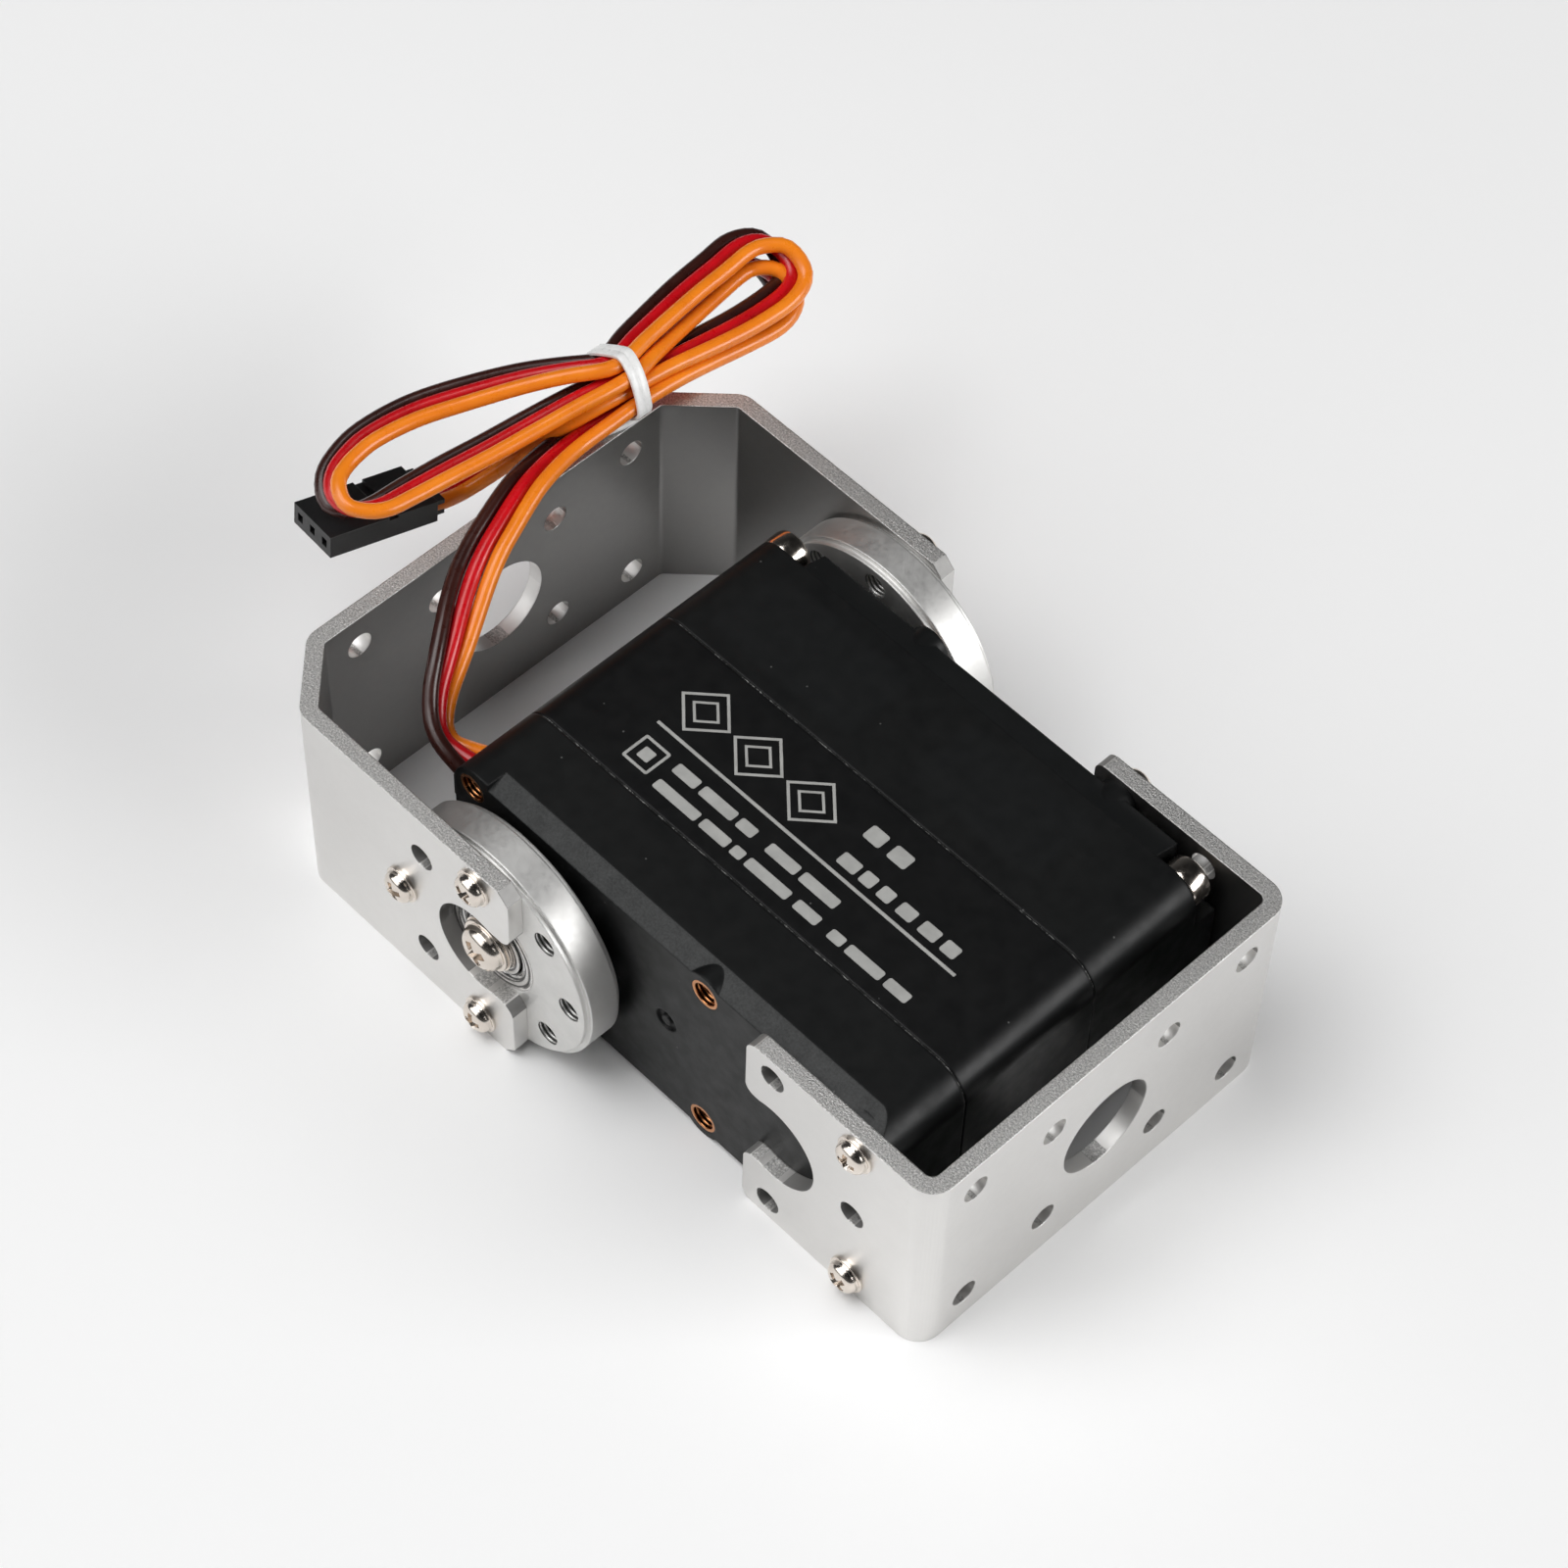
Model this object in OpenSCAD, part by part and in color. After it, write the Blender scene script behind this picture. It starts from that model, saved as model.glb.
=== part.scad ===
// Powered tilt mount: a large brushless servo carried between two folded aluminium
// U brackets. The long bracket swings about the output shaft, the short bracket is
// screwed to the case. X runs from the long bracket to the short one, Y runs along
// the output shaft towards its splined end, Z is up. Every module is drawn about the
// shaft axis and then placed, so that the whole part stands on Z = 0.

/* [Servo case] */
// Height of the case
case_h = 30; // [29.5:0.1:30]
// Width of the case across its two flat faces
case_w = 48; // [47.6:0.1:48]
// Depth of the cover on the idler side
cover_depth = 10.6; // [10:0.1:11]
// Depth of the metal middle case
middle_depth = 18.7; // [18.4:0.1:18.9]
// Thickness of the case walls
wall = 2.2; // [1.8:0.1:2.4]
// Corner radius at the cable end
cable_end_r = 3.5; // [2.5:0.1:3.6]
// Corner radius at the far end
far_end_r = 4.2; // [3:0.1:4.4]

/* [Brackets] */
// Thickness of the sheet
sheet = 2; // [1.5:0.1:2]
// Height of both brackets
bracket_h = 30; // [28:0.5:30]
// Outer width of the short bracket
short_w = 53; // [53:0.1:53.4]
// Outer width of the long bracket
long_w = 65.5; // [65.5:0.1:67]
// Size of the cut corners of the long bracket
corner_cut = 7.3; // [6:0.1:8]
// Length of the outer screw rectangle on both base plates
plate_holes_y = 40; // [38:0.5:42]
// Height of the outer screw rectangle on both base plates
plate_holes_z = 21; // [19:0.5:22]

/* [Discs and screws] */
// Outer diameter of the horn disc and of the idler disc
disc_d = 30; // [28:0.5:30]
// Thickness of the two discs
disc_t = 5; // [4.6:0.1:5]
// Bolt circle shared by the discs, the arms and the base plates
bolt_circle = 24; // [23.6:0.1:24.4]
// Diameter of the clearance holes for the bracket screws
screw_hole_d = 3.3; // [3.1:0.1:3.6]

/* [Gear train] */
// Pressure angle of all gears
pressure_angle = 25; // [24:1:26]
// Backlash of each gear, measured on its pitch circle
backlash = 0.09; // [0.07:0.01:0.14]

/* [Hidden] */
$fn = 64;

// Places along X, from the shaft axis
plate_x = -35;
base_x = 60.5;
shaft_x = -(plate_x + base_x) / 2;
case_x0 = -12.4;
case_x1 = 53.1;
arm_tip_x = 34.2;
corner_screw_x = [-9.6, 50];
idler_insert_x = [-9.6, 26, 50];
output_insert_x = [10, 38];
screw_z = 12;
pocket_x = [-5.6, 47];
pocket_z = 8.4;
sensor_post_z = [-9.5, 9.5];
mould_mark_at = [20.3, 0.8];
board_screw_x = [6, 44];
board_screw_z = -6.5;

// Places along Y, from the middle of the two brackets
idler_face = -short_w / 2 + sheet;
output_face = idler_face + case_w;
boss_face = short_w / 2 - sheet;
seam = 0.2;
seam_groove = 0.15;
middle_y0 = idler_face + cover_depth;
middle_y1 = middle_y0 + middle_depth;
floor_y = middle_y1 - 2;
roof_y = output_face - wall;
bearing_y = [19, 22];
pocket_y = 20.2;
insert_depth = 6;
idler_insert_y = idler_face + insert_depth;
output_insert_y = boss_face - insert_depth;
board_y = -19.2;
board_t = 1.4;
arm_in = long_w / 2 - sheet;
disc_in = arm_in - disc_t;

// Places along Z, from the shaft axis
half_h = case_h / 2;
half_b = bracket_h / 2;

// Gear layers: first and last Y of each stage
layer_a = [5.4, 7.2];
layer_b = [7.6, 10.0];
layer_c = [10.4, 13.6];
layer_d = [14.0, 18.4];

// Gear train, each row is module, teeth of the driver, teeth of the driven gear
stage_1 = [0.5, 10, 32];
stage_2 = [0.6, 12, 26];
stage_3 = [0.7, 12, 24];
stage_4 = [0.8, 12, 26];
third_z = 3.4;
second_z = -4.2;
first_z = 4.1;
motor_z = -2.5;
third_at = [reach(stage_4, third_z), third_z];
second_at = [third_at[0] + reach(stage_3, second_z - third_z), second_z];
first_at = [second_at[0] + reach(stage_2, first_z - second_z), first_z];
motor_at = [first_at[0] + reach(stage_1, motor_z - first_z), motor_z];
axles = [first_at, second_at, third_at];
output_phase = 0;
third_phase = mesh_phase(stage_4[2], output_phase, stage_4[1], [0, 0], third_at);
second_phase = mesh_phase(stage_3[2], third_phase, stage_3[1], third_at, second_at);
first_phase = mesh_phase(stage_2[2], second_phase, stage_2[1], second_at, first_at);
motor_phase = mesh_phase(stage_1[2], first_phase, stage_1[1], first_at, motor_at);
axle_r = 1;
axle_y = [floor_y + 0.7, 22.4];
gear_bore_r = 1.05;
gear_hub_y = [5, 20.8];
spline_teeth = 25;
spline_r = [3.7, 4];
spline_gap = 0.04;

// Screws, inserts and the bosses around them; each head is its diameter and height, and
// the motor is the outer and inner radius of its can
m3_r = 1.5;
thread_gap = 0.02;
through_r = 1.65;
insert_r = 1.85;
boss_r = 2.9;
output_boss_r = 2.5;
corner_post_r = 3.2;
mould_mark_r = [1.5, 0.7];
mould_mark_depth = 0.35;
board_hole_r = 0.8;
board_screw_r = 0.78;
board_screw_tip = -22;
motor_screw_side = 6;
motor_nose_r = 1.6;
motor_r = [9.8, 9.2];
pan_head = [4.6, 1.7];
cap_head = [5.4, 2.9];
cap_socket = [1.35, 1.5];
post_head = [6.6, 2.2];
horn_head = [9.6, 1.8];
horn_recess_r = 5.4;
horn_recess = 2;

// Shaft, bearings: inner and outer radius, ball radius and ball circle
shaft_r = 3;
bush_r = 5;
bush_bore_r = 3.05;
journal_r = 5;
idler_bearing = [3, 6.5];
idler_ball = [0.85, 4.75];
output_bearing = [5, 7.5];
output_ball = [0.75, 6.25];
race_t = [1.3, 0.9];
ball_gap = 0.05;
post_collar_r = 3.9;
washer_t = 0.6;
washer_r = 3.5;

// Holes, notches, slots and tips of the sheet
centre_hole_r = 6.2;
slot_half = 5.9;
short_slot_x = 38.2;
short_slot_ease = 1.4;
long_slot_ease = 1.7;
short_tip_r = 1.5;
long_tip_cut = 2.05;
short_fold_r = 1;
long_fold_r = 0.8;
long_tip_x = 5.2;

// Cable: outer diameter of one wire, how far the wires lie apart, and the route of
// the red wire from the grommet to the side of the hank
wire_d = 1.8;
wire_pitch = 1.85;
cable_y = -19.6;
cable_z = 7;
cable_slot = [6.4, 2.6];
grommet_x = -14.2;
cable_route = [
    [-14.2, -19.6, 7.0], [-16.6, -20.1, 7.1], [-18.6, -20.4, 7.5], [-20.3, -19.9, 8.2],
    [-21.6, -18.8, 9.1], [-22.7, -17.4, 10.3], [-23.7, -15.7, 11.5], [-25.2, -13.2, 12.8],
    [-27.2, -10.1, 14.0], [-29.1, -6.9, 15.0], [-30.5, -3.8, 15.9], [-31.6, -0.7, 16.5],
    [-32.7, 2.4, 16.9], [-33.6, 5.4, 17.1]
];
hank_z = [15, 22.5];
waist_x = [-39.6, -32.6];
tie_y = [19.8, 22.4];
tie_t = 0.7;
plug_at = [-46.2, -7.5, 12.9];
plug_turn = [-11, -10, -8];
plug_size = [7.7, 13.8, 2.7];
contact_pitch = 2.54;
contact_w = 1;

function pitch_r(m, z) = m * z / 2;
function centre_distance(s) = pitch_r(s[0], s[1] + s[2]);
function reach(s, dz) = sqrt(pow(centre_distance(s), 2) - dz * dz);
function involute(a) = tan(a) * 180 / PI - a;
// Angle of a tooth of the second gear when the first gear's tooth angle is known
function mesh_phase(z1, phase_1, z2, at_1, at_2) =
    let (phi = atan2(at_2[1] - at_1[1], at_2[0] - at_1[0]))
    phi + 180 + 180 / z2 - (phase_1 - phi) * z1 / z2;
function tooth_half_angle(m, z, r) =
    let (rp = pitch_r(m, z), rb = rp * cos(pressure_angle))
    90 / z - backlash / 2 / rp * 180 / PI + involute(pressure_angle)
        - (r > rb ? involute(acos(rb / r)) : 0);
function gear_points(m, z, phase) =
    let (rp = pitch_r(m, z), ra = rp + 0.85 * m, rf = rp - 1.15 * m,
        rb = max(rp * cos(pressure_angle), rf), steps = 4)
    [for (i = [0:z - 1]) let (c = phase + i * 360 / z)
        each concat(
            [let (a = c - tooth_half_angle(m, z, rb)) rf * [cos(a), sin(a)]],
            [for (k = [0:steps]) let (r = rb + (ra - rb) * k / steps,
                a = c - tooth_half_angle(m, z, r)) r * [cos(a), sin(a)]],
            [for (k = [0:steps]) let (r = ra - (ra - rb) * k / steps,
                a = c + tooth_half_angle(m, z, r)) r * [cos(a), sin(a)]],
            [let (a = c + tooth_half_angle(m, z, rb)) rf * [cos(a), sin(a)]]
        )];
function arc_points(at, r, a0, a1, steps) =
    [for (i = [0:steps]) let (a = a0 + (a1 - a0) * i / steps) at + r * [cos(a), sin(a)]];
function short_half(inset) = let (r = short_fold_r + sheet)
    concat([[arm_tip_x, short_w / 2 - inset]],
        arc_points([base_x - r, short_w / 2 - r], r - inset, 90, 0, 12));
function long_half(inset) = let (r = long_fold_r + sheet, setback = r * tan(22.5))
    concat([[long_tip_x, long_w / 2 - inset]],
        arc_points([plate_x + corner_cut + setback, long_w / 2 - r], r - inset, 90, 135, 7),
        arc_points([plate_x + r, long_w / 2 - corner_cut - setback], r - inset, 135, 180, 7));
function spline_points(r_in, r_out) =
    [for (i = [0:spline_teeth - 1], k = [0:3])
        let (a = (i + [0, 0.2, 0.5, 0.7][k]) * 360 / spline_teeth, r = k < 2 ? r_out : r_in)
        r * [cos(a), sin(a)]];

// Puts a module that is drawn about the shaft axis into the part's own frame
module placed() {
    translate([shaft_x, 0, half_b]) children();
}

// Extrudes an outline, whose second axis is Z, along Y
module along_y(y0, y1) {
    translate([0, y1, 0]) rotate([90, 0, 0]) linear_extrude(height = y1 - y0) children();
}

module rod(r, y0, y1, x = 0, z = 0) {
    translate([x, y1, z]) rotate([90, 0, 0]) cylinder(r = r, h = y1 - y0);
}

module ring(r_out, r_in, y0, y1, x = 0, z = 0) {
    difference() {
        rod(r_out, y0, y1, x, z);
        rod(r_in, y0 - 1, y1 + 1, x, z);
    }
}

module at_both_z() {
    for (side = [-1, 1]) translate([0, 0, side * screw_z]) children();
}

// ---- servo case ----

// Rounded outline of the case in X and Z, moved inwards by inset
module case_outline(inset = 0) {
    x0 = case_x0 + inset;
    x1 = case_x1 - inset;
    h = half_h - inset;
    ra = max(cable_end_r - inset, 0.8);
    rb = max(far_end_r - inset, 0.8);
    translate([x0 + ra, -h]) square([x1 - x0 - ra - rb, 2 * h]);
    translate([x0, -h + ra]) square([ra + 1, 2 * (h - ra)]);
    translate([x1 - rb - 1, -h + rb]) square([rb + 1, 2 * (h - rb)]);
    for (side = [-1, 1]) {
        translate([x0 + ra, side * (h - ra)]) circle(r = ra);
        translate([x1 - rb, side * (h - rb)]) circle(r = rb);
    }
}

// Four corner posts that the long case screws pass through
module corner_posts(y0, y1) {
    intersection() {
        for (x = corner_screw_x) at_both_z() rod(corner_post_r, y0, y1, x);
        along_y(y0, y1) case_outline(0.5);
    }
}

// Wedges that bevel the long edges of one face; the bosses stay square
module edge_bevels(face, out, depth_y, depth_z, x0, x1, bosses, r) {
    difference() {
        for (side = [-1, 1]) mirror([0, 0, side < 0 ? 1 : 0])
            translate([x0, 0, 0]) rotate([90, 0, 90])
                linear_extrude(height = x1 - x0)
                    polygon([
                        [face - out * depth_y, half_h],
                        [face - out * depth_y * 2, half_h + depth_z],
                        [face + out * depth_y, half_h + depth_z],
                        [face + out * depth_y, half_h - 2 * depth_z],
                        [face, half_h - depth_z]
                    ]);
        for (x = bosses) at_both_z() rod(r, face - 6, face + 6, x);
    }
}

// Passage of the cable through the end wall
module cable_slot_block(x0, x1) {
    translate([x0, cable_y - cable_slot[0] / 2, cable_z - cable_slot[1] / 2])
        cube([x1 - x0, cable_slot[0], cable_slot[1]]);
}

module idler_cover() {
    color("#17181a") placed() difference() {
        union() {
            difference() {
                along_y(idler_face, middle_y0 - seam) case_outline();
                along_y(idler_face + wall, middle_y0 + 1) case_outline(wall);
                edge_bevels(idler_face, -1, 2.6, 0.9, corner_screw_x[0] + 2.6,
                    case_x1 + 1, [idler_insert_x[1]], boss_r);
            }
            corner_posts(idler_face + 1, middle_y0 - seam);
            at_both_z() rod(boss_r, idler_face, idler_insert_y + 1, idler_insert_x[1]);
            for (x = board_screw_x) rod(1.8, idler_face + 1, board_y, x, board_screw_z);
        }
        for (x = corner_screw_x) at_both_z() rod(insert_r, idler_face - 1, middle_y0, x);
        at_both_z() rod(insert_r, idler_face - 1, idler_insert_y, idler_insert_x[1]);
        for (x = board_screw_x) rod(board_hole_r, board_screw_tip, board_y + 1, x, board_screw_z);
        rod(post_collar_r, idler_face - 1, -20);
        ring(mould_mark_r[0], mould_mark_r[1], idler_face - 1, idler_face + mould_mark_depth,
            mould_mark_at[0], mould_mark_at[1]);
        cable_slot_block(case_x0 - 1, case_x0 + wall + 1);
    }
}

module middle_case() {
    color("#1b1c1f") placed() difference() {
        union() {
            difference() {
                along_y(middle_y0, middle_y1) case_outline();
                along_y(middle_y0 - 1, floor_y) case_outline(wall);
            }
            corner_posts(middle_y0, floor_y + 0.5);
            rod(7, 0.8, floor_y + 0.5);
            for (z = sensor_post_z) rod(2, -2.4, floor_y + 0.5, 0, z);
        }
        rod(bush_r, 0, middle_y1 + 1);
        for (x = corner_screw_x) at_both_z() rod(through_r, middle_y0 - 1, middle_y1 + 1, x);
        for (at = axles) rod(axle_r, axle_y[0], middle_y1 + 1, at[0], at[1]);
        at_motor() {
            rod(motor_nose_r, floor_y - 1, middle_y1 + 1);
            for (side = [-1, 1]) rod(1.1, floor_y - 1, middle_y1 + 1, side * motor_screw_side);
        }
        for (z = sensor_post_z) rod(board_hole_r, -3, 0.5, 0, z);
    }
}

module gear_case() {
    color("#141517") placed() difference() {
        union() {
            difference() {
                along_y(middle_y1 + seam, output_face) case_outline();
                along_y(middle_y1 - 1, roof_y) case_outline(wall);
            }
            corner_posts(middle_y1 + seam, output_face - 0.5);
            for (x = output_insert_x) at_both_z()
                rod(output_boss_r, output_insert_y - 2.5, boss_face, x);
            rod(9.4, bearing_y[0] - 0.2, output_face + 0.6);
            for (at = axles) rod(2.4, gear_hub_y[1] + 0.1, roof_y + 0.5, at[0], at[1]);
        }
        edge_bevels(output_face, 1, 3.3, 1, pocket_x[0], pocket_x[1], output_insert_x,
            output_boss_r);
        for (x = [[case_x0 - 1, pocket_x[0]], [pocket_x[1], case_x1 + 1]], side = [-1, 1])
            translate([x[0], pocket_y, side > 0 ? pocket_z : -half_h - 1])
                cube([x[1] - x[0], 6, half_h + 1 - pocket_z]);
        for (x = corner_screw_x) at_both_z() rod(through_r, middle_y1, output_face + 1, x);
        for (x = output_insert_x) at_both_z() rod(insert_r, output_insert_y, boss_face + 1, x);
        for (at = axles) rod(axle_r, bearing_y[0], axle_y[1], at[0], at[1]);
        rod(output_bearing[1], 18, 23.5);
        rod(pitch_r(stage_4[0], stage_4[2]) + stage_4[0] + 0.1, layer_d[0] - 0.4, layer_d[1] + 0.3);
        rod(5.4, 18, output_face + 2);
    }
}

module gasket(y0) {
    difference() {
        union() {
            difference() {
                along_y(y0, y0 + seam) case_outline(seam_groove);
                along_y(y0 - 1, y0 + 1) case_outline(wall);
            }
            intersection() {
                for (x = corner_screw_x) at_both_z() rod(corner_post_r, y0, y0 + seam, x);
                along_y(y0, y0 + seam) case_outline(0.9);
            }
        }
        for (x = corner_screw_x) at_both_z() rod(through_r, y0 - 1, y0 + 1, x);
    }
}

module idler_side_gasket() {
    color("#2b2b2d") placed() gasket(middle_y0 - seam);
}

module gear_side_gasket() {
    color("#2b2b2d") placed() gasket(middle_y1);
}

// ---- screws and inserts ----

// Pan head screw that points along -Y from its seat at the origin
module pan_screw(length, head = pan_head) {
    r = head[0] / 2;
    h = head[1];
    dome_r = (r * r + h * h) / (2 * h) + 0.6;
    difference() {
        intersection() {
            rod(r, 0, h);
            translate([0, h - dome_r, 0]) sphere(r = dome_r);
        }
        for (turn = [0, 90]) rotate([0, turn + 20, 0])
            translate([-r * 0.55, h * 0.42, -0.32]) cube([r * 1.1, h, 0.64]);
        rod(r * 0.22, h * 0.3, h + 1);
    }
    rod(m3_r - thread_gap, -length, 0.2);
}

module cap_screw(length) {
    difference() {
        rod(cap_head[0] / 2, 0, cap_head[1]);
        rod(cap_socket[0], cap_head[1] - cap_socket[1], cap_head[1] + 1, $fn = 6);
    }
    rod(m3_r - thread_gap, -length, 0.2);
}

module case_screws() {
    color("#c9c5bb") placed() for (x = corner_screw_x) at_both_z()
        translate([x, pocket_y, 0]) cap_screw(38);
}

module threaded_insert(y0, y1, x) {
    difference() {
        rod(insert_r, y0, y1, x);
        rod(m3_r, y0 - 1, y1 + 1, x);
    }
}

module idler_side_inserts() {
    color("#c08a3e") placed() {
        for (x = corner_screw_x) at_both_z() threaded_insert(idler_face, middle_y0 - 1, x);
        at_both_z() threaded_insert(idler_face, idler_insert_y, idler_insert_x[1]);
    }
}

module output_side_inserts() {
    color("#c08a3e") placed() for (x = output_insert_x) at_both_z()
        threaded_insert(output_insert_y, boss_face, x);
}

module short_bracket_screws() {
    color("#d8d4ca") placed() {
        at_both_z() translate([corner_screw_x[1], -short_w / 2, 0]) mirror([0, 1, 0])
            pan_screw(7.5);
        at_both_z() translate([output_insert_x[1], short_w / 2, 0]) pan_screw(7);
    }
}

module long_bracket_screws() {
    color("#d8d4ca") placed() for (a = [90, 180, 270]) rotate([0, -a, 0]) {
        translate([bolt_circle / 2, long_w / 2, 0]) pan_screw(6.4);
        translate([bolt_circle / 2, -long_w / 2, 0]) mirror([0, 1, 0]) pan_screw(6.4);
    }
}

// ---- brackets ----

// Bent sheet from its half outline: a function of the distance in from the outer face
module bent_sheet(outer, inner) {
    function mirrored(half) = [for (i = [len(half) - 1:-1:0]) [half[i][0], -half[i][1]]];
    function reversed(list) = [for (i = [len(list) - 1:-1:0]) list[i]];
    translate([0, 0, -half_b]) linear_extrude(height = bracket_h)
        polygon(concat(outer, mirrored(outer), reversed(concat(inner, mirrored(inner)))));
}

// Screw holes that both base plates share, drilled along X through the plate at x
module base_holes(x) {
    translate([x, 0, 0]) rotate([0, 90, 0]) translate([0, 0, -4]) {
        cylinder(r = centre_hole_r, h = 8);
        for (a = [45:90:315]) rotate([0, 0, a]) translate([bolt_circle / 2, 0, 0])
            cylinder(d = screw_hole_d, h = 8);
        for (z = [-0.5, 0.5], y = [-0.5, 0.5])
            translate([z * plate_holes_z, y * plate_holes_y, 0]) cylinder(d = screw_hole_d, h = 8);
    }
}

// Open-ended slot in an arm: a round bottom, straight sides and eased mouth corners
module arm_slot(x, mouth, y0, y1, r, half, ease) {
    dir = mouth > x ? 1 : -1;
    rod(r, y0, y1, x);
    translate([min(x, mouth + dir), y0, -half]) cube([abs(mouth - x) + 1, y1 - y0, 2 * half]);
    for (side = [-1, 1]) difference() {
        translate([dir > 0 ? mouth - ease : mouth - 1, y0, side * (half + ease / 2) - ease / 2])
            cube([ease + 1, y1 - y0, ease]);
        rod(ease, y0 - 1, y1 + 1, mouth - dir * ease, side * (half + ease));
    }
}

// Rounds the outer corners of an arm that ends at x and runs towards +X
module tip_corners(x, y0, y1, r) {
    for (side = [-1, 1]) difference() {
        translate([x - 1, y0, side > 0 ? half_b - r : -half_b - 1]) cube([r + 1, y1 - y0, r + 1]);
        rod(r, y0 - 1, y1 + 1, x + r, side * (half_b - r));
    }
}

module short_bracket() {
    color("#d4d4d2") placed() difference() {
        bent_sheet(short_half(0), short_half(sheet));
        base_holes(base_x);
        for (side = [-1, 1]) {
            y = side * (short_w / 2 - sheet / 2);
            for (x = [output_insert_x[1], corner_screw_x[1]]) at_both_z()
                rod(screw_hole_d / 2, y - 3, y + 3, x);
            rod(screw_hole_d / 2, y - 3, y + 3, corner_screw_x[1]);
            arm_slot(short_slot_x, arm_tip_x, y - 3, y + 3, centre_hole_r, slot_half,
                short_slot_ease);
            tip_corners(arm_tip_x, y - 3, y + 3, short_tip_r);
        }
    }
}

module long_bracket() {
    color("#d4d4d2") placed() difference() {
        bent_sheet(long_half(0), long_half(sheet));
        base_holes(plate_x);
        for (side = [-1, 1]) {
            y = side * (long_w / 2 - sheet / 2);
            for (a = [90:45:270]) rotate([0, -a, 0])
                rod(screw_hole_d / 2, y - 3, y + 3, bolt_circle / 2);
            arm_slot(0, long_tip_x, y - 3, y + 3, centre_hole_r, slot_half, long_slot_ease);
            for (z = [-1, 1]) translate([long_tip_x, y, z * half_b]) rotate([0, 45, 0])
                cube([long_tip_cut, 8, long_tip_cut], center = true);
        }
    }
}

// ---- discs and bearings ----

module disc(y0, y1, bore_r) {
    difference() {
        union() {
            rod(disc_d / 2, y0 + 0.6, y1 - 0.6);
            rod(disc_d / 2 - 0.6, y0, y1);
        }
        rod(bore_r, y0 - 1, y1 + 1);
        for (a = [0:45:315]) rotate([0, -a, 0]) rod(m3_r, y0 - 1, y1 + 1, bolt_circle / 2);
    }
}

module idler_disc() {
    color("#cfd0d0") placed() disc(-arm_in, -disc_in, idler_bearing[1]);
}

module output_disc() {
    color("#cfd0d0") placed() difference() {
        disc(disc_in, arm_in, spline_r[0] - 0.3);
        along_y(disc_in - 1, arm_in + 1)
            polygon(spline_points(spline_r[0] + spline_gap, spline_r[1] + spline_gap));
        rod(horn_recess_r, arm_in - horn_recess, arm_in + 1);
    }
}

// Ball bearing pieces between y0 and y1; ball is the ball radius and the ball circle
module race(r_out, r_in, y, ball) {
    difference() {
        ring(r_out, r_in, y[0], y[1]);
        translate([0, (y[0] + y[1]) / 2, 0]) rotate([90, 0, 0]) rotate_extrude()
            translate([ball[1], 0]) circle(r = ball[0] + ball_gap, $fn = 32);
    }
}

module balls(count, y, ball) {
    for (i = [0:count - 1]) rotate([0, i * 360 / count, 0])
        translate([ball[1], (y[0] + y[1]) / 2, 0]) sphere(r = ball[0], $fn = 32);
}

module idler_bearing_inner_race() {
    color("#b9babc") placed()
        race(idler_bearing[0] + race_t[0], idler_bearing[0], [-arm_in, -disc_in], idler_ball);
}
module idler_bearing_outer_race() {
    color("#b9babc") placed()
        race(idler_bearing[1], idler_bearing[1] - race_t[0], [-arm_in, -disc_in], idler_ball);
}
module idler_bearing_balls() {
    color("#dcdcdc") placed() balls(9, [-arm_in, -disc_in], idler_ball);
}
module output_bearing_inner_race() {
    color("#b9babc") placed()
        race(output_bearing[0] + race_t[1], output_bearing[0], bearing_y, output_ball);
}
module output_bearing_outer_race() {
    color("#b9babc") placed()
        race(output_bearing[1], output_bearing[1] - race_t[1], bearing_y, output_ball);
}
module output_bearing_balls() {
    color("#dcdcdc") placed() balls(13, bearing_y, output_ball);
}

module output_seal() {
    color("#242424") placed()
        ring(output_bearing[1], journal_r + 0.06, bearing_y[1] + 0.1, output_face - 0.1);
}

module shaft_bush() {
    color("#a9793c") placed() ring(bush_r, bush_bore_r, 0.8, middle_y1);
}

module idler_post() {
    color("#a7a9ac") placed() difference() {
        union() {
            rod(idler_bearing[0], -arm_in, -21);
            rod(post_collar_r, -disc_in, -20.8);
            rod(6.5, idler_face + wall, -20.8);
        }
        rod(m3_r, -arm_in - 1, -22);
    }
}

module idler_post_washer() {
    color("#c9c9c7") placed() ring(washer_r, m3_r, -arm_in - washer_t, -arm_in);
}

module idler_post_screw() {
    color("#d8d4ca") placed() translate([0, -arm_in - washer_t, 0]) mirror([0, 1, 0])
        pan_screw(8, post_head);
}

module horn_screw() {
    color("#d8d4ca") placed() translate([0, arm_in - horn_recess, 0]) pan_screw(7, horn_head);
}

// ---- gear train ----

module spur(m, z, phase, layer) {
    along_y(layer[0], layer[1]) polygon(gear_points(m, z, phase));
}

// Driven gear and the next driver on one hub; a stage is module, driver, driven teeth
module compound(at, big, big_layer, small, small_layer, phase, hub_r) {
    translate([at[0], 0, at[1]]) difference() {
        union() {
            spur(big[0], big[2], phase, big_layer);
            spur(small[0], small[1], phase, small_layer);
            rod(hub_r, gear_hub_y[0], gear_hub_y[1]);
            rod(pitch_r(small[0], small[1]) - 1.3 * small[0], big_layer[0], small_layer[1]);
        }
        rod(gear_bore_r, gear_hub_y[0] - 1, gear_hub_y[1] + 1);
    }
}

module first_gear() {
    color("#b58a45") placed()
        compound(first_at, stage_1, layer_a, stage_2, layer_b, first_phase, 1.9);
}
module second_gear() {
    color("#b9bbbd") placed()
        compound(second_at, stage_2, layer_b, stage_3, layer_c, second_phase, 2);
}
module third_gear() {
    color("#b9bbbd") placed()
        compound(third_at, stage_3, layer_c, stage_4, layer_d, third_phase, 2.2);
}

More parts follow.
